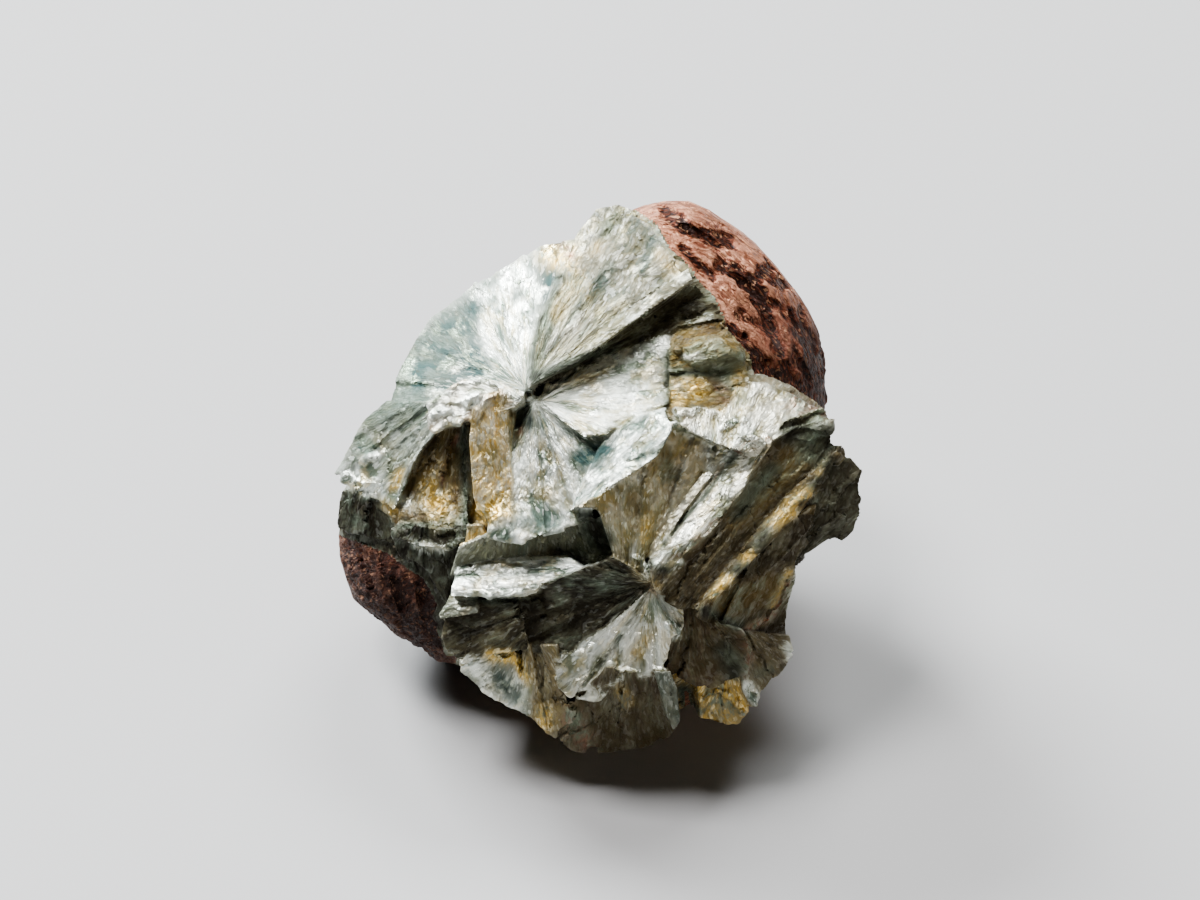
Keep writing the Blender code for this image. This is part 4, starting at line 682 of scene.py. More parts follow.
def depth_in_skin(places):
    """How deep each place lies under the skin of the body, in mm: negative outside it."""
    apart = places - HEART
    length = np.linalg.norm(apart, axis=1)
    ways = apart / length[:, None]
    reach = skin_reach(ways)
    rough = HEART + ways * reach[:, None]
    swells = np.array([noise.noise(Vector(p) / UNEVEN_LENGTH) for p in rough])
    return reach + UNEVENNESS * swells - length


def outside(places, outline):
    """How far each place is outside an outline on the face, in mm: 0 within it."""
    nearest = np.full(len(places), np.inf)
    within = np.zeros(len(places), bool)
    for p, q in zip(np.array(outline), np.array(outline[1:] + outline[:1])):
        side = q - p
        along = np.clip((places[:, :2] - p) @ side / (side @ side), 0, 1)
        apart = np.linalg.norm(places[:, :2] - p - along[:, None] * side, axis=1)
        nearest = np.minimum(nearest, apart)
        spans = (p[1] > places[:, 1]) != (q[1] > places[:, 1])
        if q[1] != p[1]:
            crossing = p[0] + (places[:, 1] - p[1]) * side[0] / side[1]
            within ^= spans & (crossing > places[:, 0])
    return np.where(within, 0, nearest)


def ragged_cover(places, line, ragged, length):
    """How far a ragged patch round a line on the face covers each place, from 0 to 1. It fades
    out over half its radius either side of its edge."""
    start = np.array(line.start)
    side = np.array(line.end) - start
    along = np.clip((places[:, :2] - start) @ side / max(side @ side, 1e-6), 0, 1)
    apart = np.linalg.norm(places[:, :2] - start - along[:, None] * side, axis=1)
    cover = np.zeros(len(places))
    near = apart < line.radius * (1.5 + ragged)
    wobble = np.array([noise.noise(Vector(p) / length) for p in places[near]])
    inside = line.radius * (1 + ragged * wobble) - apart[near]
    cover[near] = np.clip(inside / line.radius + 0.5, 0, 1)
    return cover * line.strength


def rib_stains():
    """The ribs' own tones, as a stain along each stretch of a rib."""
    return [Stain(rib.tone, start, end, rib.radius * RIB_COVER, rib.strength)
            for rib in RIBS for start, end in zip(rib.line, rib.line[1:])]


def depth_under(places, fan):
    """How far each place is under the plane of a fan's top, in mm."""
    a, u, out = fan.anchor
    top = out + fan.slope[0] * (places[:, 0] - a) + fan.slope[1] * (places[:, 1] - u)
    return top - places[:, 2]


# How much the depth under a fan's top counts against the distance beside its outline.
DEPTH_WEIGHT = 0.6
# A place is in a fan within this range of depths under its top, and this near its outline, in mm.
UNDER_FAN = (-3.0, 4.0)
BESIDE_FAN = 0.28


def owners(places):
    """Which fan each place belongs to, how far it is from that fan's top, and if it is in one."""
    gaps = []
    in_fan = np.zeros(len(places), bool)
    for fan in FANS:
        beside = outside(places, fan.outline)
        under = depth_under(places, fan)
        gaps.append(np.hypot(beside, DEPTH_WEIGHT * under))
        in_fan |= (beside < BESIDE_FAN) & (under > UNDER_FAN[0]) & (under < UNDER_FAN[1])
    gaps = np.array(gaps)
    return gaps.argmin(0), gaps.min(0), in_fan


def fan_grain(places, fan):
    """Where each place is along the fibres of a fan: across them, along them, and deep."""
    root = np.array(fan.root)
    corners = np.array(fan.outline) - root
    radius = np.linalg.norm(corners, axis=1).mean()
    ahead = math.atan2(*corners.mean(0)[::-1])
    apart = places[:, :2] - root
    angle = np.arctan2(apart[:, 1], apart[:, 0]) - ahead
    angle = (angle + math.pi) % math.tau - math.pi
    return np.stack([angle * radius, np.linalg.norm(apart, axis=1), depth_under(places, fan)], 1)


# The rind's angles are turned into mm on a ball of this radius.
RIND_RADIUS = 10.0
# Round the face, the middle and half the width of the part where the wrinkles run down.
UPRIGHT_RIND = math.radians(205)
UPRIGHT_SPAN = math.radians(48)


def rind_grain(places):
    """The rind's wrinkles run round the broken face, but down from it at the lower left."""
    apart = places - HEART
    round_face = np.arctan2(apart[:, 1], apart[:, 0]) % math.tau
    down = np.arctan2(np.hypot(apart[:, 0], apart[:, 1]), apart[:, 2])
    upright = np.abs(round_face - UPRIGHT_RIND) < UPRIGHT_SPAN
    first = np.where(upright, round_face, down)
    second = np.where(upright, down, round_face)
    length = np.linalg.norm(apart, axis=1)
    return np.stack([first * RIND_RADIUS, second * RIND_RADIUS, length], 1)


# Grain coordinates are kept this far apart from fan to fan, in mm.
FAN_STEP = 37.0


def grain_at(places, fans, rind):
    """Coordinates across, along and into the fibres, in mm, from each place's fan or rind."""
    found = rind_grain(places)
    for i, fan in enumerate(FANS):
        mine = (fans == i) & (rind < 0.5)
        if mine.any():
            found[mine] = fan_grain(places[mine], fan) + (FAN_STEP * i, 0, 0)
    return found


def fibres_at(places, fans):
    """The direction of the fibres at each place, in the stone's own frame."""
    ways = np.zeros_like(places)
    for i, fan in enumerate(FANS):
        mine = fans == i
        flat = places[mine, :2] - np.array(fan.root)
        flat /= np.maximum(np.linalg.norm(flat, axis=1), 1e-6)[:, None]
        ways[mine] = np.column_stack([flat, flat @ np.array(fan.slope)])
    ways /= np.maximum(np.linalg.norm(ways, axis=1), 1e-6)[:, None]
    return ways @ TURN


# The rind is what lies this near the body's skin, and this far from any fan, in mm.
RIND_DEPTHS = (-0.14, 0.55)
CLOSE_TO_FAN = 0.22
# The sides of blades are duller and more olive. A place this far from its fan's top, in mm, is
# half on a side, and a side's tones change by this share.
HALF_SIDE_GAP = 1.0
SIDE_DULL = 0.6


class Survey:
    """What the stone is made of at each of many points: which fan, how near its top, and rind."""

    def __init__(self, points):
        self.places = face_places(points)
        self.fan, self.gap, in_fan = owners(self.places)
        depth = depth_in_skin(self.places)
        at_skin = (depth > RIND_DEPTHS[0]) & (depth < RIND_DEPTHS[1])
        self.rind = (at_skin & (self.gap > CLOSE_TO_FAN) & ~in_fan).astype(float)

    def on_top(self):
        """How near each place is to the top of its fan, from 0 to 1."""
        return np.clip((HALF_SIDE_GAP - self.gap) / HALF_SIDE_GAP + 0.5, 0, 1)

    def tones(self):
        """The share of each tone: the fan's own, with the stains laid over it."""
        on_blades = self.rind < 0.5
        shares = np.array([fan.tones for fan in FANS])[self.fan] * on_blades[:, None]
        beside = (1 - self.on_top()) * on_blades
        shares[:, TONE_NAMES.index("pale")] *= 1 - SIDE_DULL * beside
        shares[:, TONE_NAMES.index("olive")] += SIDE_DULL * beside
        for where, stains in ((on_blades, STAINS + rib_stains()), (~on_blades, RIND_STAINS)):
            for stain in stains:
                cover = ragged_cover(self.places, stain, STAIN_RAGGED, STAIN_LENGTH) * where
                shares *= (1 - cover)[:, None]
                shares[:, TONE_NAMES.index(stain.tone)] += cover
        behind = np.clip((BEHIND - self.places[:, 2]) / -BEHIND, 0, 1) * ~on_blades
        shares[:, TONE_NAMES.index("russet")] += BACK_RUSSET * behind
        return shares

    def furrow(self):
        """How far each place is down a furrow of the rind."""
        deepest = np.zeros(len(self.places))
        for furrow in FURROWS:
            cover = ragged_cover(self.places, furrow, FURROW_RAGGED, FURROW_LENGTH)
            deepest = np.maximum(deepest, cover)
        deepest *= self.places[:, 2] > FACING_OUT
        behind = (self.rind > 0.5) & (self.places[:, 2] < BEHIND)
        deepest[behind] = [self.back_furrow(Vector(p)) for p in self.places[behind]]
        return deepest

    def back_furrow(self, place):
        """Broken hollows in the back of the rind, drawn out round the stone."""
        broad, ragged = (noise.noise(Vector([p / size for p, size in zip(place, sizes)]))
                         for sizes in (BACK_HOLLOW, BACK_HOLLOW_EDGE))
        depth = broad + BACK_HOLLOW_RAGGED * ragged - BACK_HOLLOW_LEAST
        return min(max(BACK_HOLLOW_SLOPE * depth, 0), BACK_HOLLOW_MOST)


# ---- meshes and attributes ----------------------------------------------------------------------


def vertex_points(data):
    """The places of a mesh's vertices, in metres."""
    points = np.empty(len(data.vertices) * 3, np.float32)
    data.vertices.foreach_get("co", points)
    return points.reshape(-1, 3).astype(float)


def edge_ends(data):
    """The two vertices of each edge."""
    ends = np.empty(len(data.edges) * 2, np.int32)
    data.edges.foreach_get("vertices", ends)
    return ends.reshape(-1, 2)


def softened(values, ends, rounds):
    """Values on vertices, each evened out with its neighbours a number of times."""
    values = np.asarray(values, float)
    count = np.maximum(np.bincount(ends.ravel(), minlength=len(values)), 1)
    flat = values.reshape(len(values), -1).copy()
    for _ in range(rounds):
        for column in flat.T:
            near = np.bincount(ends[:, 0], column[ends[:, 1]], len(values))
            near += np.bincount(ends[:, 1], column[ends[:, 0]], len(values))
            column[:] = (column + near / count) / 2
    return flat.reshape(values.shape)


def set_floats(data, name, values, domain="POINT"):
    """Gives a mesh an attribute of one number."""
    layer = data.attributes.new(name, "FLOAT", domain)
    layer.data.foreach_set("value", np.ascontiguousarray(values, np.float32).ravel())


def set_vectors(data, name, values, domain="POINT"):
    """Gives a mesh an attribute of three numbers."""
    layer = data.attributes.new(name, "FLOAT_VECTOR", domain)
    layer.data.foreach_set("vector", np.ascontiguousarray(values, np.float32).ravel())


def clear_attributes(data, names):
    """Takes attributes off a mesh."""
    for name in names:
        if name in data.attributes:
            data.attributes.remove(data.attributes[name])


def new_piece(name, data):
    """A new object in the scene, at the origin."""
    made = bpy.data.objects.new(name, data)
    bpy.context.scene.collection.objects.link(made)
    return made


def settled(piece):
    """The piece's modifiers turned into plain mesh."""
    bpy.context.view_layer.update()
    graph = bpy.context.evaluated_depsgraph_get()
    data = bpy.data.meshes.new_from_object(piece.evaluated_get(graph))
    old = piece.data
    piece.modifiers.clear()
    piece.data = data
    bpy.data.meshes.remove(old)


def set_inputs(modifier, values):
    """Sets a Geometry Nodes modifier's inputs, by name, through the sockets' identifiers."""
    for item in modifier.node_group.interface.items_tree:
        if item.item_type == "SOCKET" and item.in_out == "INPUT" and item.name in values:
            modifier[item.identifier] = values[item.name]


# The recess of a vertex is how far it is below its surroundings, in this many metres. They are
# softened this many times, and the tones a few times.
RECESS_SCALE = 0.00018
RECESS_ROUNDS = 14
TONE_ROUNDS = 2


def paint(piece):
    """Gives a piece the attributes that its materials read."""
    data = piece.data
    ends = edge_ends(data)
    points = vertex_points(data)
    survey = Survey(points)
    for name, shares in zip(TONE_NAMES, softened(survey.tones(), ends, TONE_ROUNDS).T):
        set_floats(data, name, shares)
    set_floats(data, "furrow", softened(survey.furrow(), ends, 1))
    normals = np.empty(len(data.vertices) * 3, np.float32)
    data.vertices.foreach_get("normal", normals)
    sunk = softened(points, ends, RECESS_ROUNDS) - points
    recess = (sunk * normals.reshape(-1, 3)).sum(1) / RECESS_SCALE
    set_floats(data, "recess", softened(np.clip(recess, -1, 1), ends, 1))
    paint_grain(data, points)


def paint_grain(data, points):
    """Grain on the corners of faces, so that it breaks cleanly from one fan to the next."""
    corners = np.empty(len(data.loops), np.int32)
    data.loops.foreach_get("vertex_index", corners)
    starts = np.empty(len(data.polygons), np.int32)
    totals = np.empty(len(data.polygons), np.int32)
    data.polygons.foreach_get("loop_start", starts)
    data.polygons.foreach_get("loop_total", totals)
    middles = np.add.reduceat(points[corners], starts) / totals[:, None]
    faces = Survey(middles)
    places = face_places(points[corners])
    fans = np.repeat(faces.fan, totals)
    rind = np.repeat(faces.rind, totals)
    set_vectors(data, "grain", grain_at(places, fans, rind), "CORNER")
    set_vectors(data, "fibre_way", fibres_at(places, fans), "CORNER")


# ---- node trees ---------------------------------------------------------------------------------


def put(tree, kind, inputs=None, **settings):
    """Adds a node, sets it up, and links or fills its inputs."""
    node = tree.nodes.new(kind)
    for name, value in settings.items():
        setattr(node, name, value)
    for key, value in (inputs or {}).items():
        if isinstance(value, bpy.types.NodeSocket):
            tree.links.new(value, node.inputs[key])
        else:
            node.inputs[key].default_value = value
    return node


def maths(tree, operation, a, b=0.0):
    """A sum with numbers."""
    return put(tree, "ShaderNodeMath", {0: a, 1: b}, operation=operation).outputs[0]


def vectors(tree, operation, a, b):
    """A sum with vectors."""
    node = put(tree, "ShaderNodeVectorMath", {0: a, 1: b}, operation=operation)
    return node.outputs["Value" if operation == "DOT_PRODUCT" else "Vector"]


def spread(tree, value, low, high, new_low=0.0, new_high=1.0):
    """A value stretched from one range to another, and held in it."""
    return put(tree, "ShaderNodeMapRange", {"Value": value, "From Min": low, "From Max": high,
                                            "To Min": new_low, "To Max": new_high}).outputs[0]


def mixed(tree, share, a, b):
    """Two colours mixed. The Mix node's colour sockets are 6 and 7 in and 2 out."""
    return put(tree, "ShaderNodeMix", {0: share, 6: a, 7: b}, data_type="RGBA").outputs[2]


def blended(tree, share, a, b):
    """Two numbers mixed."""
    return put(tree, "ShaderNodeMix", {0: share, 2: a, 3: b}, data_type="FLOAT").outputs[0]


def geometry_tree(name, sockets):
    """A Geometry Nodes tree with a geometry in and out, and named inputs."""
    tree = bpy.data.node_groups.new(name, "GeometryNodeTree")
    tree.interface.new_socket("Geometry", in_out="OUTPUT", socket_type="NodeSocketGeometry")
    tree.interface.new_socket("Geometry", in_out="INPUT", socket_type="NodeSocketGeometry")
    for label, kind in sockets:
        tree.interface.new_socket(label, in_out="INPUT", socket_type="NodeSocket" + kind)
    return tree, tree.nodes.new("NodeGroupInput").outputs


def read_vector(tree, name):
    """A mesh's attribute of three numbers, read in a Geometry Nodes tree."""
    return put(tree, "GeometryNodeInputNamedAttribute", {"Name": name},
               data_type="FLOAT_VECTOR").outputs["Attribute"]


def read_float(tree, name):
    """A mesh's attribute of one number, read in a Geometry Nodes tree."""
    return put(tree, "GeometryNodeInputNamedAttribute", {"Name": name},
               data_type="FLOAT").outputs["Attribute"]


def stretched(tree, grain, width, length):
    """Grain coordinates divided by a width across the fibres and a length along them."""
    across = maths(tree, "DIVIDE", MM, width)
    along = maths(tree, "DIVIDE", MM, length)
    scale = put(tree, "ShaderNodeCombineXYZ", {0: across, 1: along, 2: across}).outputs[0]
    return vectors(tree, "MULTIPLY", grain, scale)


def wandering(tree, grain, length, amount):
    """Grain coordinates that wander, so that nothing runs quite straight. Both are in mm."""
    drift = put(tree, "ShaderNodeTexNoise", {"Vector": grain, "Scale": 1 / length, "Detail": 2.0})
    aside = vectors(tree, "SUBTRACT", drift.outputs[1], (0.5, 0.5, 0.5))
    aside = vectors(tree, "MULTIPLY", aside, (2 * amount, 2 * amount, 2 * amount))
    return vectors(tree, "ADD", grain, aside)


def bent_fibres(tree, grain):
    """Grain coordinates that wander as the fibres of the blades do."""
    return wandering(tree, wandering(tree, grain, 1.5, 0.30), 0.25, 0.05)


def broken_cells(tree, cells, tilt, crack_width, crack_depth):
    """Steps from cell to cell, each with a tilt of its own, and cracks between them."""
    scattered = {"Vector": cells, "Scale": 1.0, "Randomness": 0.9}
    cell = put(tree, "ShaderNodeTexVoronoi", scattered, feature="F1")
    gap = put(tree, "ShaderNodeTexVoronoi", scattered, feature="DISTANCE_TO_EDGE")
    chance = put(tree, "ShaderNodeSeparateXYZ", {0: cell.outputs["Color"]}).outputs
    apart = vectors(tree, "SUBTRACT", cells, cell.outputs["Position"])
    way = vectors(tree, "SUBTRACT", cell.outputs["Color"], (0.5, 0.5, 0.5))
    slant = maths(tree, "MULTIPLY", vectors(tree, "DOT_PRODUCT", apart, way), tilt)
    crack = spread(tree, gap.outputs["Distance"], 0.0, crack_width, -crack_depth, 0.0)
    step = maths(tree, "SUBTRACT", chance[0], 0.5)
    return maths(tree, "ADD", maths(tree, "ADD", step, slant), crack)


def plate_height(tree, grain, given):
    """Broken plates, each at its own height, with ragged ends."""
    ragged = wandering(tree, wandering(tree, grain, 1.1, 0.45), 0.22, 0.10)
    cells = stretched(tree, ragged, given["Plate Width"], given["Plate Length"])
    broken = broken_cells(tree, cells, tilt=1.3, crack_width=0.03, crack_depth=0.2)
    return maths(tree, "MULTIPLY", broken, given["Plate Height"])


def lath_height(tree, grain, given):
    """The flat laths that a plate splits into."""
    cells = stretched(tree, bent_fibres(tree, grain), given["Lath Width"], given["Lath Length"])
    broken = broken_cells(tree, cells, tilt=1.2, crack_width=0.06, crack_depth=0.3)
    return maths(tree, "MULTIPLY", broken, given["Lath Height"])


def fine_noise(tree, grain, width, length, detail, roughness):
    """Noise with cells of a width across the fibres and a length along them, both sockets."""
    place = stretched(tree, grain, width, length)
    return put(tree, "ShaderNodeTexNoise", {"Vector": place, "Scale": 1.0, "Detail": detail,
                                            "Roughness": roughness}).outputs[0]


def fibre_height(tree, grain, given):
    """Fine fibres that run the length of a lath."""
    width = given["Fibre Width"]
    fibres = fine_noise(tree, grain, width, maths(tree, "MULTIPLY", width, 14.0), 2.0, 0.6)
    return maths(tree, "MULTIPLY", maths(tree, "SUBTRACT", fibres, 0.5), given["Fibre Height"])


def rind_height(tree, grain, given):
    """Wrinkles, small ragged pits and torn furrows in the rind."""
    size = given["Pit Size"]

    def pit_noise(across, along, detail, roughness):
        return fine_noise(tree, grain, maths(tree, "MULTIPLY", size, across),
                          maths(tree, "MULTIPLY", size, along), detail, roughness)

    wrinkles = pit_noise(1.0, 5.0, 4.0, 0.62)
    pit = spread(tree, pit_noise(0.7, 3.0, 3.0, 0.7), 0.40, 0.28, 0.0, -0.9)
    total = maths(tree, "ADD", maths(tree, "SUBTRACT", wrinkles, 0.5), pit)
    ragged = maths(tree, "ADD", maths(tree, "MULTIPLY", pit_noise(0.35, 2.2, 2.0, 0.6), 0.6),
                   maths(tree, "MULTIPLY", wrinkles, 0.5))
    torn = maths(tree, "SUBTRACT", read_float(tree, "furrow"), ragged)
    torn = spread(tree, torn, -0.25, 0.2, 0.0, -1.1)
    return maths(tree, "MULTIPLY", maths(tree, "ADD", total, torn), given["Pit Depth"])


# The relief fades out between these heights over the floor, in metres, so that the base stays
# flat.
FLOOR_CLEAR = 0.00005
FLOOR_FREE = 0.0005
# The tree's sizes. Each is one of the stone's settings, which has the same name in small letters.
RELIEF_SIZES = (
    "Plate Width", "Plate Length", "Plate Height", "Lath Width", "Lath Length", "Lath Height",
    "Fibre Width", "Fibre Height", "Pit Size", "Pit Depth",
)


def relief_tree():
    """The Geometry Nodes tree that raises the fibres of the blades and pits the rind."""
    finishes = [("Blades", "Material"), ("Rind", "Material")]
    tree, given = geometry_tree("blade_relief", [(n, "Float") for n in RELIEF_SIZES] + finishes)
    grain = read_vector(tree, "grain_point")
    rind = read_float(tree, "rind")
    blades = maths(tree, "ADD", plate_height(tree, grain, given), lath_height(tree, grain, given))
    blades = maths(tree, "MULTIPLY", blades, read_float(tree, "rough"))
    blades = maths(tree, "ADD", blades, fibre_height(tree, grain, given))
    height = blended(tree, rind, blades, rind_height(tree, grain, given))
    above = put(tree, "ShaderNodeSeparateXYZ",
                {0: put(tree, "GeometryNodeInputPosition").outputs[0]}).outputs[2]
    height = maths(tree, "MULTIPLY", height, spread(tree, above, FLOOR_CLEAR, FLOOR_FREE))
    normal = put(tree, "GeometryNodeInputNormal").outputs[0]
    offset = put(tree, "ShaderNodeVectorMath", {0: normal, "Scale": height},
                 operation="SCALE").outputs[0]
    moved = put(tree, "GeometryNodeSetPosition",
                {"Geometry": given["Geometry"], "Offset": offset}).outputs[0]
    whole = put(tree, "GeometryNodeRealizeInstances", {"Geometry": moved}).outputs[0]
    dressed = put(tree, "GeometryNodeSetMaterial",
                  {"Geometry": whole, "Material": given["Blades"]}).outputs[0]
    on_rind = put(tree, "FunctionNodeCompare", {"A": rind, "B": 0.5}, data_type="FLOAT",
                  operation="GREATER_THAN").outputs[0]
    finished = put(tree, "GeometryNodeSetMaterial",
                   {"Geometry": dressed, "Selection": on_rind, "Material": given["Rind"]})
    put(tree, "NodeGroupOutput", {0: finished.outputs[0]})
    return tree


# ---- materials ----------------------------------------------------------------------------------


def surface(name):
    """A new material, with its tree and its shader."""
    made = bpy.data.materials.new(name)
    made.use_nodes = True
    return made, made.node_tree, made.node_tree.nodes["Principled BSDF"]


def attribute(tree, name, output="Fac"):
    """A mesh's attribute, read in a material."""
    return put(tree, "ShaderNodeAttribute", attribute_name=name).outputs[output]


def drawn_out(tree, grain, width, stretch, shift):
    """Grain coordinates in cells of a width in mm across the fibres, so many times longer along
    them. The shift makes one layer's cells differ from another's."""
    scale = (1 / width, 1 / (width * stretch), 1 / width)
    return put(tree, "ShaderNodeMapping", {"Vector": grain, "Scale": scale,
                                           "Location": (shift, shift, shift)}).outputs[0]


def streaks(tree, grain, width, stretch, detail=3.0, roughness=0.6, shift=0.0):
    """Noise drawn out along the fibres. The width is in mm."""
    place = drawn_out(tree, grain, width, stretch, shift)
    return put(tree, "ShaderNodeTexNoise", {"Vector": place, "Scale": 1.0, "Detail": detail,
                                            "Roughness": roughness}).outputs[0]


def facets(tree, grain, width, stretch, shift=0.0):
    """Small cleavage faces, each tipped a way of its own: their height in cells, and three
    random numbers for each."""
    place = drawn_out(tree, grain, width, stretch, shift)
    cell = put(tree, "ShaderNodeTexVoronoi", {"Vector": place, "Scale": 1.0}, feature="F1")
    apart = vectors(tree, "SUBTRACT", place, cell.outputs["Position"])
    way = vectors(tree, "SUBTRACT", cell.outputs["Color"], (0.5, 0.5, 0.5))
    chances = put(tree, "ShaderNodeSeparateXYZ", {0: cell.outputs["Color"]}).outputs
    return vectors(tree, "DOT_PRODUCT", apart, way), chances


def shared(tree, *parts):
    """The sum of several values, each times a share."""
    total = 0.0
    for value, share in parts:
        total = put(tree, "ShaderNodeMath", {0: value, 1: share, 2: total},
                    operation="MULTIPLY_ADD").outputs[0]
    return total


def layer(tree, colour, name, noise_value, low, high, over):
    """Lays a colour over another where a tone is, in the shape of a noise. Gives its cover too."""
    cover = maths(tree, "MULTIPLY", attribute(tree, name), spread(tree, noise_value, low, high))
    return mixed(tree, cover, colour, over), cover


def bumps(tree, shader, relief, distance):
    """Makes the shader's surface follow a height. The distance is in metres."""
    bump = put(tree, "ShaderNodeBump", {"Height": relief, "Strength": 1.0, "Distance": distance})
    tree.links.new(bump.outputs[0], shader.inputs["Normal"])


# The lesser colours of the blades, and the height of their finest relief in metres.
# Darker pearl: painted shade between the bright flakes.
PEARL_PAINTED_SHADE = (0.10, 0.13, 0.095, 1)
CREAM = (0.58, 0.48, 0.25, 1)
# Near-black of the dark tone: partly the stone's own near-black, partly painted shade.
NEAR_BLACK = (0.0085, 0.0062, 0.0018, 1)
SCRATCH = (0.15, 0.16, 0.12, 1)
GILT_GLINT = (1.0, 0.78, 0.30, 1)
DULL_FLAKE = (0.05, 0.05, 0.028, 1)
# Pale olive for raised edges of olive blades, partly wear and partly painted highlight.
HIGHLIT_WORN_OLIVE = (0.62, 0.53, 0.34, 1)
# Painted shade for recesses.
CREVICE_SHADE = (0.035, 0.027, 0.013, 1)
BLADE_BUMP = 0.00008


def pearly_blades(settings):
    """Silvery green chlorite: a mottled, metallic lustre of small flakes, stained by iron."""
    made, tree, shader = surface("pearly blades")
    bent = bent_fibres(tree, attribute(tree, "grain", "Vector"))
    coarse = streaks(tree, bent, 0.40, 5.0)
    fine = streaks(tree, bent, 0.08, 9.0, shift=9.0)
    mottle = streaks(tree, bent, 0.85, 1.4, detail=4.0, shift=31.0)
    patches = streaks(tree, bent, 0.75, 1.8, detail=5.0, roughness=0.7, shift=57.0)
    speck = streaks(tree, bent, 0.13, 2.0, detail=2.0, shift=77.0)
    soft = streaks(tree, bent, 0.85, 2.0, detail=3.0, shift=19.0)
    hairs = streaks(tree, bent, 0.10, 10.0, detail=1.0, shift=91.0)
    flake, chances = facets(tree, bent, 0.10, 2.2, shift=3.0)
    plate, _ = facets(tree, bent, 0.55, 2.6, shift=5.0)
    recess = attribute(tree, "recess")
    pale = attribute(tree, "pale")
    silver = tuple(settings.silver)
    streak = shared(tree, (coarse, 0.45), (fine, 0.40), (speck, 0.15))

    # The tones, each over the one before.
    # Pale blades are silver, with darker pearl in soft patches where their relief is lower: painted
    # shade between the bright flakes.
    pearl = mixed(tree, spread(tree, soft, 0.40, 0.56), PEARL_PAINTED_SHADE, silver)
    cream = maths(tree, "MULTIPLY", spread(tree, patches, 0.48, 0.62), 0.6)
    pearl = mixed(tree, cream, pearl, CREAM)
    colour, _ = layer(tree, tuple(settings.green), "pale", streak, 0.28, 0.44, pearl)
    teal_noise = shared(tree, (mottle, 0.8), (speck, 0.2))
    colour, dull = layer(tree, colour, "teal", teal_noise, 0.42, 0.51, tuple(settings.teal))
    olive_noise = shared(tree, (streak, 0.6), (mottle, 0.4))
    colour, brown = layer(tree, colour, "olive", olive_noise, 0.66, 0.46, tuple(settings.olive))
    iron = shared(tree, (patches, 0.7), (speck, 0.3))
    colour, _ = layer(tree, colour, "russet", iron, 0.40, 0.56, tuple(settings.russet))
    colour, gilt = layer(tree, colour, "gold", iron, 0.62, 0.46, tuple(settings.gold))
    # The dark tone, partly painted shade on faces turned down and away from the lights.
    dark_noise = shared(tree, (mottle, 0.6), (streak, 0.4))
    colour, deep = layer(tree, colour, "dark", dark_noise, 0.78, 0.46, NEAR_BLACK)

    # Loose pale hairs on the dark faces, and scratches on the pale ones.
    lash = maths(tree, "MULTIPLY", spread(tree, hairs, 0.62, 0.70),
                 maths(tree, "MULTIPLY", spread(tree, pale, 0.15, 0.45), deep))
    colour = mixed(tree, lash, colour, silver)
    scratch = maths(tree, "MULTIPLY", spread(tree, fine, 0.58, 0.70),
                    maths(tree, "MULTIPLY", pale, 0.35))
    colour = mixed(tree, scratch, colour, SCRATCH)

    # Some flakes flash, and some are dull.
    glint = mixed(tree, gilt, silver, GILT_GLINT)
    bright = maths(tree, "MAXIMUM", pale, gilt)
    flash = maths(tree, "MULTIPLY",
                  spread(tree, shared(tree, (chances[0], 1.0), (gilt, 0.3)), 0.82, 0.92),
                  spread(tree, bright, 0.1, 0.9, 0.05, 0.6))
    colour = mixed(tree, flash, colour, glint)
    shade = maths(tree, "MULTIPLY", spread(tree, chances[1], 0.84, 0.94),
                  spread(tree, pale, 0.0, 1.0, 0.4, 0.15))
    colour = mixed(tree, shade, colour, DULL_FLAKE)

    # Raised edges are lighter, partly wear and partly painted highlight, and recesses are darkened
    # with painted shade.
    # Raised edges turn silver, and pale olive on olive blades: partly wear, partly painted highlight.
    edge = mixed(tree, attribute(tree, "olive"), silver, HIGHLIT_WORN_OLIVE)
    stained = maths(tree, "MAXIMUM", attribute(tree, "dark"), attribute(tree, "olive"))
    wear_and_highlight = maths(tree, "MULTIPLY", spread(tree, recess, -0.35, -1.0),
                 spread(tree, stained, 0.0, 0.8, 0.5, 0.08))
    colour = mixed(tree, wear_and_highlight, colour, edge)
    # Painted shade in recesses, stronger on the darker blades.
    crevice_shade = maths(tree, "MULTIPLY", spread(tree, recess, 0.25, 1.0),
                 spread(tree, pale, 0.0, 1.0, 0.7, 0.4))
    colour = mixed(tree, crevice_shade, colour, CREVICE_SHADE)
    tree.links.new(colour, shader.inputs["Base Color"])

    matt = maths(tree, "MAXIMUM", dull, maths(tree, "MULTIPLY", brown, 0.6))
    matt = maths(tree, "MAXIMUM", matt, deep)
    shine = shared(tree, (chances[2], 0.22), (matt, 0.45))
    tree.links.new(maths(tree, "ADD", shine, 0.24), shader.inputs["Roughness"])
    metal = maths(tree, "MULTIPLY", spread(tree, dull, 0.0, 0.8, 0.7, 0.15),
                  spread(tree, deep, 0.0, 1.0, 1.0, 0.6))
    tree.links.new(metal, shader.inputs["Metallic"])
    rough = spread(tree, pale, 0.1, 0.8, 1.0, 0.5)
    relief = shared(tree, (coarse, 0.45), (fine, 0.42),
                    (maths(tree, "MULTIPLY", flake, rough), 0.55),
                    (maths(tree, "MULTIPLY", plate, rough), 1.5), (soft, 4.0))
    bumps(tree, shader, relief, BLADE_BUMP)
    tree.links.new(attribute(tree, "fibre_way", "Vector"), shader.inputs["Tangent"])
    shader.inputs["Specular IOR Level"].default_value = 0.25
    shader.inputs["Anisotropic"].default_value = 0.6
    shader.inputs["Anisotropic Rotation"].default_value = 0.25
    return made


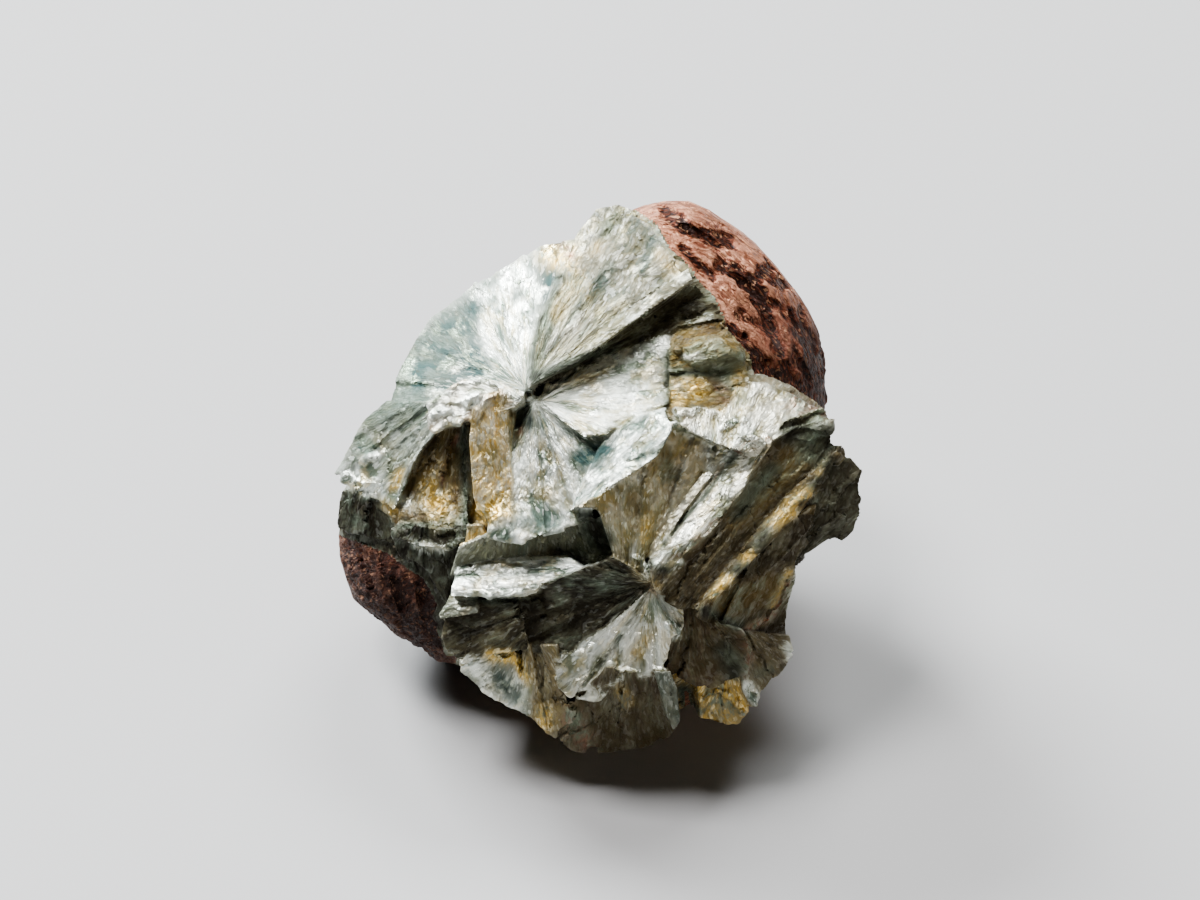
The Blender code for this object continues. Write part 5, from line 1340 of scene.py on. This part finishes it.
# The lesser colours of the rind, and the height of its finest relief in metres.
RIND_RED = (0.10, 0.022, 0.008, 1)
RIND_RUSSET = (0.055, 0.010, 0.0035, 1)
RIND_HOLLOW = (0.07, 0.018, 0.008, 1)
RIND_GLINT = (0.60, 0.30, 0.16, 1)
RIND_BUMP = 0.00010


def copper_rind(settings):
    """The rind: coppery brown, fibrous, dark in its furrows, and pinkish on its high places, partly
    from wear and partly as painted highlight.
    """
    made, tree, shader = surface("copper rind")
    grain = attribute(tree, "grain", "Vector")
    bent = wandering(tree, wandering(tree, grain, 1.2, 0.35), 0.3, 0.08)
    wrinkle = streaks(tree, bent, 0.20, 5.0, detail=4.0)
    fine = streaks(tree, bent, 0.09, 9.0, shift=13.0)
    patches = streaks(tree, bent, 1.0, 1.8, detail=5.0, shift=41.0)
    clouds = streaks(tree, bent, 3.0, 1.5, detail=3.0, shift=67.0)
    flake, chances = facets(tree, bent, 0.08, 2.5, shift=3.0)
    recess = attribute(tree, "recess")
    russet = attribute(tree, "russet")
    painted_rind_shade = attribute(tree, "dark")
    dull = maths(tree, "MAXIMUM", russet, painted_rind_shade)
    streak = shared(tree, (wrinkle, 0.5), (fine, 0.5))

    # Red and copper patches, pinkish on the high places as wear and painted highlight, and red again
    # between the wrinkles.
    colour = mixed(tree, spread(tree, patches, 0.36, 0.52), RIND_RED, tuple(settings.rind_copper))
    wear_and_highlight = shared(tree, (streak, 1.3), (patches, 0.3), (clouds, 0.5), (recess, -0.2))
    colour = mixed(tree, spread(tree, wear_and_highlight, 0.95, 1.30), colour, tuple(settings.rind_pink))
    # Russet where the russet tone is: the back of the rind, and partly painted shade at its lower left
    # and lower right.
    colour = mixed(tree, russet, colour, RIND_RUSSET)
    hollow = maths(tree, "MULTIPLY", spread(tree, streak, 0.52, 0.38), 0.85)
    colour = mixed(tree, hollow, colour, RIND_HOLLOW)

    # Furrows have a red edge, and needles cross their dark bottoms.
    rind_dark = tuple(settings.rind_dark)
    torn = shared(tree, (attribute(tree, "furrow"), 1.0), (streak, -2.8), (recess, 0.25))
    colour = mixed(tree, spread(tree, torn, -1.15, -0.85), colour, RIND_RED)
    needles = spread(tree, fine, 0.52, 0.62, 1.0, 0.35)
    torn = maths(tree, "MULTIPLY", spread(tree, torn, -1.0, -0.62), needles)
    colour = mixed(tree, torn, colour, rind_dark)
    # Painted shade where the rind's dark tone is, at its lower left and lower right.
    colour = mixed(tree, painted_rind_shade, colour, rind_dark)
    flash = maths(tree, "MULTIPLY", spread(tree, chances[0], 0.86, 0.94),
                  spread(tree, dull, 0.0, 0.8, 0.35, 0.10))
    colour = mixed(tree, flash, colour, RIND_GLINT)
    tree.links.new(colour, shader.inputs["Base Color"])

    rough = shared(tree, (chances[2], 0.28), (dull, 0.25))
    tree.links.new(maths(tree, "ADD", rough, 0.34), shader.inputs["Roughness"])
    tree.links.new(spread(tree, dull, 0.0, 0.8, 0.45, 0.05), shader.inputs["Metallic"])
    shader.inputs["Specular IOR Level"].default_value = 0.12
    relief = shared(tree, (wrinkle, 0.9), (fine, 0.8), (flake, 0.8))
    bumps(tree, shader, relief, RIND_BUMP)
    return made


def plain_floor(settings):
    """The pale matt floor."""
    made, _, shader = surface("plain pale floor")
    shader.inputs["Base Color"].default_value = tuple(settings.floor)
    shader.inputs["Roughness"].default_value = 0.7
    return made


# ---- pieces -------------------------------------------------------------------------------------


def cad_copy(node, name):
    """A copy of a CAD node's mesh, with its loose triangles sewn together."""
    mesh = bmesh.new()
    mesh.from_mesh(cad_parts[node].data)
    bmesh.ops.remove_doubles(mesh, verts=mesh.verts, dist=1e-7)
    data = bpy.data.meshes.new(name)
    mesh.to_mesh(data)
    mesh.free()
    return new_piece(name, data)


def to_stone(across, up, out):
    """A place in the frame of the face, in mm, as a point of the stone's own frame, in metres."""
    return MM * (FACE_CENTRE + across * ACROSS + up * UP_FACE + out * OUT_OF_FACE)


def top_of(fan, across, up):
    """How far out the top of a fan, or of a fill, is at a place on the face."""
    return fan.anchor[2] + fan.slope[0] * (across - fan.anchor[0]) \
        + fan.slope[1] * (up - fan.anchor[1])


def add_rib(mesh, rib, fan, rng):
    """Adds a closed tube, lumpy and pointed at its ends, along the line of a rib."""
    line = [Vector((a, u, top_of(fan, a, u) + rib.lift)) for a, u in rib.line]
    middles = []
    for start, end in zip(line, line[1:]):
        steps = max(1, round((end - start).length / RIB_STEP))
        middles += [start.lerp(end, i / steps) for i in range(steps)]
    middles.append(line[-1])
    along = (line[-1] - line[0]).normalized()
    beside = along.cross(Vector((0, 0, 1))).normalized()
    above = beside.cross(along)
    tips = [mesh.verts.new(to_stone(*(line[0] - rib.radius * along))),
            mesh.verts.new(to_stone(*(line[-1] + rib.radius * along)))]
    rings = []
    for middle in middles:
        nudge = rib.radius * RIB_LUMPS * (rng.uniform(-1, 1) * beside + rng.uniform(-1, 1) * above)
        ring = []
        for k in range(RIB_SIDES):
            angle = math.tau * k / RIB_SIDES
            radius = rib.radius * rng.uniform(1 - RIB_LUMPS, 1 + RIB_LUMPS)
            spoke = math.cos(angle) * beside + math.sin(angle) * above
            ring.append(mesh.verts.new(to_stone(*(middle + nudge + radius * spoke))))
        rings.append(ring)
    nexts = [(k + 1) % RIB_SIDES for k in range(RIB_SIDES)]
    for first, second in zip(rings, rings[1:]):
        for k, j in enumerate(nexts):
            mesh.faces.new((first[k], first[j], second[j], second[k]))
    for k, j in enumerate(nexts):
        mesh.faces.new((rings[0][j], rings[0][k], tips[0]))
        mesh.faces.new((rings[-1][k], rings[-1][j], tips[1]))


def add_fill(mesh, fill):
    """Adds a closed block with the outline of a fill."""
    tops = [(a, u, top_of(fill, a, u)) for a, u in fill.outline]
    upper = [mesh.verts.new(to_stone(*p)) for p in tops]
    lower = [mesh.verts.new(to_stone(p[0], p[1], p[2] - fill.depth)) for p in tops]
    mesh.faces.new(upper)
    mesh.faces.new(lower[::-1])
    for i in range(len(tops)):
        j = (i + 1) % len(tops)
        mesh.faces.new((upper[i], lower[i], lower[j], upper[j]))


def add_knob(mesh, knob):
    """Adds a closed, slightly uneven ellipsoid."""
    middle = Vector(knob.middle)
    made = bmesh.ops.create_icosphere(mesh, subdivisions=3, radius=1.0)
    for vertex in made["verts"]:
        way = vertex.co.copy()
        reach = 1 + KNOB_UNEVEN * noise.noise(2 * way + middle)
        place = middle + reach * Vector([w * r for w, r in zip(way, knob.radii)])
        vertex.co = to_stone(*place)


def add_trimmings(piece):
    """Joins the ribs, fills and knobs to a piece's mesh, each as a closed solid that overlaps it."""
    rng = random.Random(SEED)
    fans = {fan.name: fan for fan in FANS}
    mesh = bmesh.new()
    for rib in RIBS:
        add_rib(mesh, rib, fans[rib.fan], rng)
    for fill in FILLS:
        add_fill(mesh, fill)
    for knob in KNOBS:
        add_knob(mesh, knob)
    bmesh.ops.recalc_face_normals(mesh, faces=mesh.faces)
    mesh.from_mesh(piece.data)
    mesh.to_mesh(piece.data)
    mesh.free()


def refine(piece, grain):
    """Rebuilds the piece's mesh from even cells."""
    cells = piece.modifiers.new("even_cells", "REMESH")
    cells.mode = "VOXEL"
    cells.voxel_size = grain
    settled(piece)


# The back is thinned to this share of its triangles before the whole is thinned.
BACK_KEPT = 0.12


def collapse(piece, ratio, group=""):
    """Thins the piece's mesh, all of it or the part in a vertex group."""
    fewer = piece.modifiers.new("fewer", "DECIMATE")
    fewer.ratio = ratio
    fewer.vertex_group = group
    settled(piece)


def thin(piece, triangles):
    """Thins the piece's mesh to about a number of triangles, and its back most."""
    count = sum(len(p.vertices) - 2 for p in piece.data.polygons)
    if count <= triangles:
        return
    away = face_places(vertex_points(piece.data))[:, 2] < 0
    back = piece.vertex_groups.new(name="back")
    back.add(np.flatnonzero(away).tolist(), 1.0, "REPLACE")
    left = 1 - away.mean() * (1 - BACK_KEPT)
    if left * count > triangles:
        collapse(piece, left, back.name)
        count *= left
    piece.vertex_groups.clear()
    collapse(piece, triangles / count)


# Pearly fans, which are at least this pale, lose this share of the plates' and laths' height.
PEARLY_PALE = 0.7
PEARLY_SMOOTH = 0.76


def add_relief(piece, settings, blades, rind):
    """Raises the fibres and the rind's pits."""
    data = piece.data
    survey = Survey(vertex_points(data))
    set_vectors(data, "grain_point", grain_at(survey.places, survey.fan, survey.rind))
    set_floats(data, "rind", survey.rind)
    set_floats(data, "furrow", survey.furrow())
    pale = np.array([fan.tones.pale for fan in FANS])[survey.fan]
    smooth = PEARLY_SMOOTH * np.minimum(pale / PEARLY_PALE, 1) * survey.on_top()
    set_floats(data, "rough", 1 - smooth)
    relief = piece.modifiers.new("relief", "NODES")
    relief.node_group = relief_tree()
    sizes = {label: getattr(settings, label.lower().replace(" ", "_")) for label in RELIEF_SIZES}
    set_inputs(relief, {**sizes, "Blades": blades, "Rind": rind})
    settled(piece)
    clear_attributes(piece.data, ("grain_point", "rind", "furrow", "rough"))


# Edges that turn more than this are drawn sharp.
SHARP_EDGE = math.radians(40)


class NODULE_OT_stone(Operator):
    """Makes the whole stone, with its fibres, its pits and its two finishes."""

    bl_idname = "nodule.stone"
    bl_label = "Stone"

    def execute(self, context):
        settings = context.scene.nodule_stone
        stone = cad_copy(NODE, STONE)
        add_trimmings(stone)
        refine(stone, settings.grain * (1))
        add_relief(stone, settings, pearly_blades(settings), copper_rind(settings))
        thin(stone, settings.triangles)
        paint(stone)
        stone.data.shade_smooth()
        stone.data.set_sharp_from_angle(angle=SHARP_EDGE)
        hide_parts(NODE)
        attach(stone, BODY)
        return {"FINISHED"}


def aim(thing, place, target, up=Vector((0, 0, 1))):
    """Puts a light or a camera at a place, looking at a target."""
    back = (place - target).normalized()
    right = up.cross(back).normalized()
    axes = Matrix((right, back.cross(right), back)).transposed()
    thing.matrix_world = Matrix.Translation(place) @ axes.to_4x4()


# Soft oblong lights that look at the stone: the way to each from the stone, how far off it is, its
# width and height, its share of the key or of the fill power, and its colour. Sizes are in metres.
Lamp = namedtuple("Lamp", "name way distance size power share colour")
LAMPS = [
    Lamp("window", (-0.50, 0.60, 0.55), 0.45, (0.18, 0.16), "key", 1.0, (0.93, 0.97, 1.0)),
    Lamp("back_window", (0.20, 0.52, 0.82), 0.50, (0.26, 0.12), "key", 0.45, (0.95, 0.98, 1.0)),
    Lamp("overhead", (-0.38, 0.08, 0.92), 0.50, (0.16, 0.16), "key", 0.60, (0.98, 0.98, 1.0)),
    Lamp("warm_fill", (0.7, -0.35, 0.35), 0.4, (0.1, 0.1), "fill", 1.0, (1.0, 0.82, 0.6)),
]
# The dim light of the room all round.
ROOM_COLOUR = (0.75, 0.8, 0.85, 1)
ROOM_STRENGTH = 0.035
# The camera looks at a place this far up the face from its middle, in mm. Its sensor is in mm too,
# and it sees nothing nearer than so many metres.
AIM_UP_FACE = 1.0
SENSOR = 36.0
NEAREST_SEEN = 0.01


def add_lamp(lamp, power):
    """Adds a light with its share of a power, which is in watts."""
    data = bpy.data.lights.new(lamp.name, "AREA")
    data.shape = "RECTANGLE"
    data.size, data.size_y = lamp.size
    data.energy = power * lamp.share
    data.color = lamp.colour
    middle = MM * FACE_CENTRE
    aim(new_piece(lamp.name, data), middle + lamp.distance * Vector(lamp.way).normalized(), middle)


def add_floor(settings):
    """Adds the square floor, at the height the stone rests on."""
    half = settings.floor_size / 2
    data = bpy.data.meshes.new("floor")
    corners = [(-half, -half, 0), (half, -half, 0), (half, half, 0), (-half, half, 0)]
    data.from_pydata(corners, [], [(0, 1, 2, 3)])
    data.materials.append(plain_floor(settings))
    new_piece("floor", data)


def add_camera(settings):
    """Adds a camera that looks straight at the broken face."""
    camera = new_piece("camera", bpy.data.cameras.new("camera"))
    camera.data.sensor_width = SENSOR
    camera.data.lens = SENSOR * settings.camera_distance / settings.view_width
    camera.data.clip_start = NEAREST_SEEN
    target = MM * (FACE_CENTRE + AIM_UP_FACE * UP_FACE)
    aim(camera, target + settings.camera_distance * OUT_OF_FACE, target)
    bpy.context.scene.camera = camera


class NODULE_OT_stage(Operator):
    """Sets the pale floor, the soft lights and the camera."""

    bl_idname = "nodule.stage"
    bl_label = "Stage"

    def execute(self, context):
        settings = context.scene.nodule_stage
        add_floor(settings)
        powers = {"key": settings.key_power, "fill": settings.fill_power}
        for lamp in LAMPS:
            add_lamp(lamp, powers[lamp.power])
        world = bpy.data.worlds.new("dim_room")
        world.use_nodes = True
        room = world.node_tree.nodes["Background"]
        room.inputs["Color"].default_value = ROOM_COLOUR
        room.inputs["Strength"].default_value = ROOM_STRENGTH
        context.scene.world = world
        add_camera(settings)
        return {"FINISHED"}


class NODULE_PT_panel(Panel):
    """The nodule's settings and makers, in the sidebar."""

    bl_idname = "NODULE_PT_panel"
    bl_label = "Seraphinite nodule"
    bl_space_type = "VIEW_3D"
    bl_region_type = "UI"
    bl_category = "Nodule"

    def draw(self, context):
        for name, maker in (("nodule_stone", NODULE_OT_stone), ("nodule_stage", NODULE_OT_stage)):
            box = self.layout.box()
            box.operator(maker.bl_idname)
            settings = getattr(context.scene, name)
            for prop in settings.bl_rna.properties:
                if not prop.is_readonly and prop.identifier != "name":
                    box.prop(settings, prop.identifier)


SETTINGS = {"nodule_stone": StoneSettings, "nodule_stage": StageSettings}
CLASSES = (StoneSettings, StageSettings, NODULE_OT_stone, NODULE_OT_stage, NODULE_PT_panel)


def register():
    for each in CLASSES:
        bpy.utils.register_class(each)
    for name, group in SETTINGS.items():
        setattr(bpy.types.Scene, name, PointerProperty(type=group))


def unregister():
    for name in SETTINGS:
        delattr(bpy.types.Scene, name)
    for each in reversed(CLASSES):
        bpy.utils.unregister_class(each)


def main():
    register()
    bpy.ops.nodule.stone()
    bpy.ops.nodule.stage()


if __name__ == "__main__":
    main()
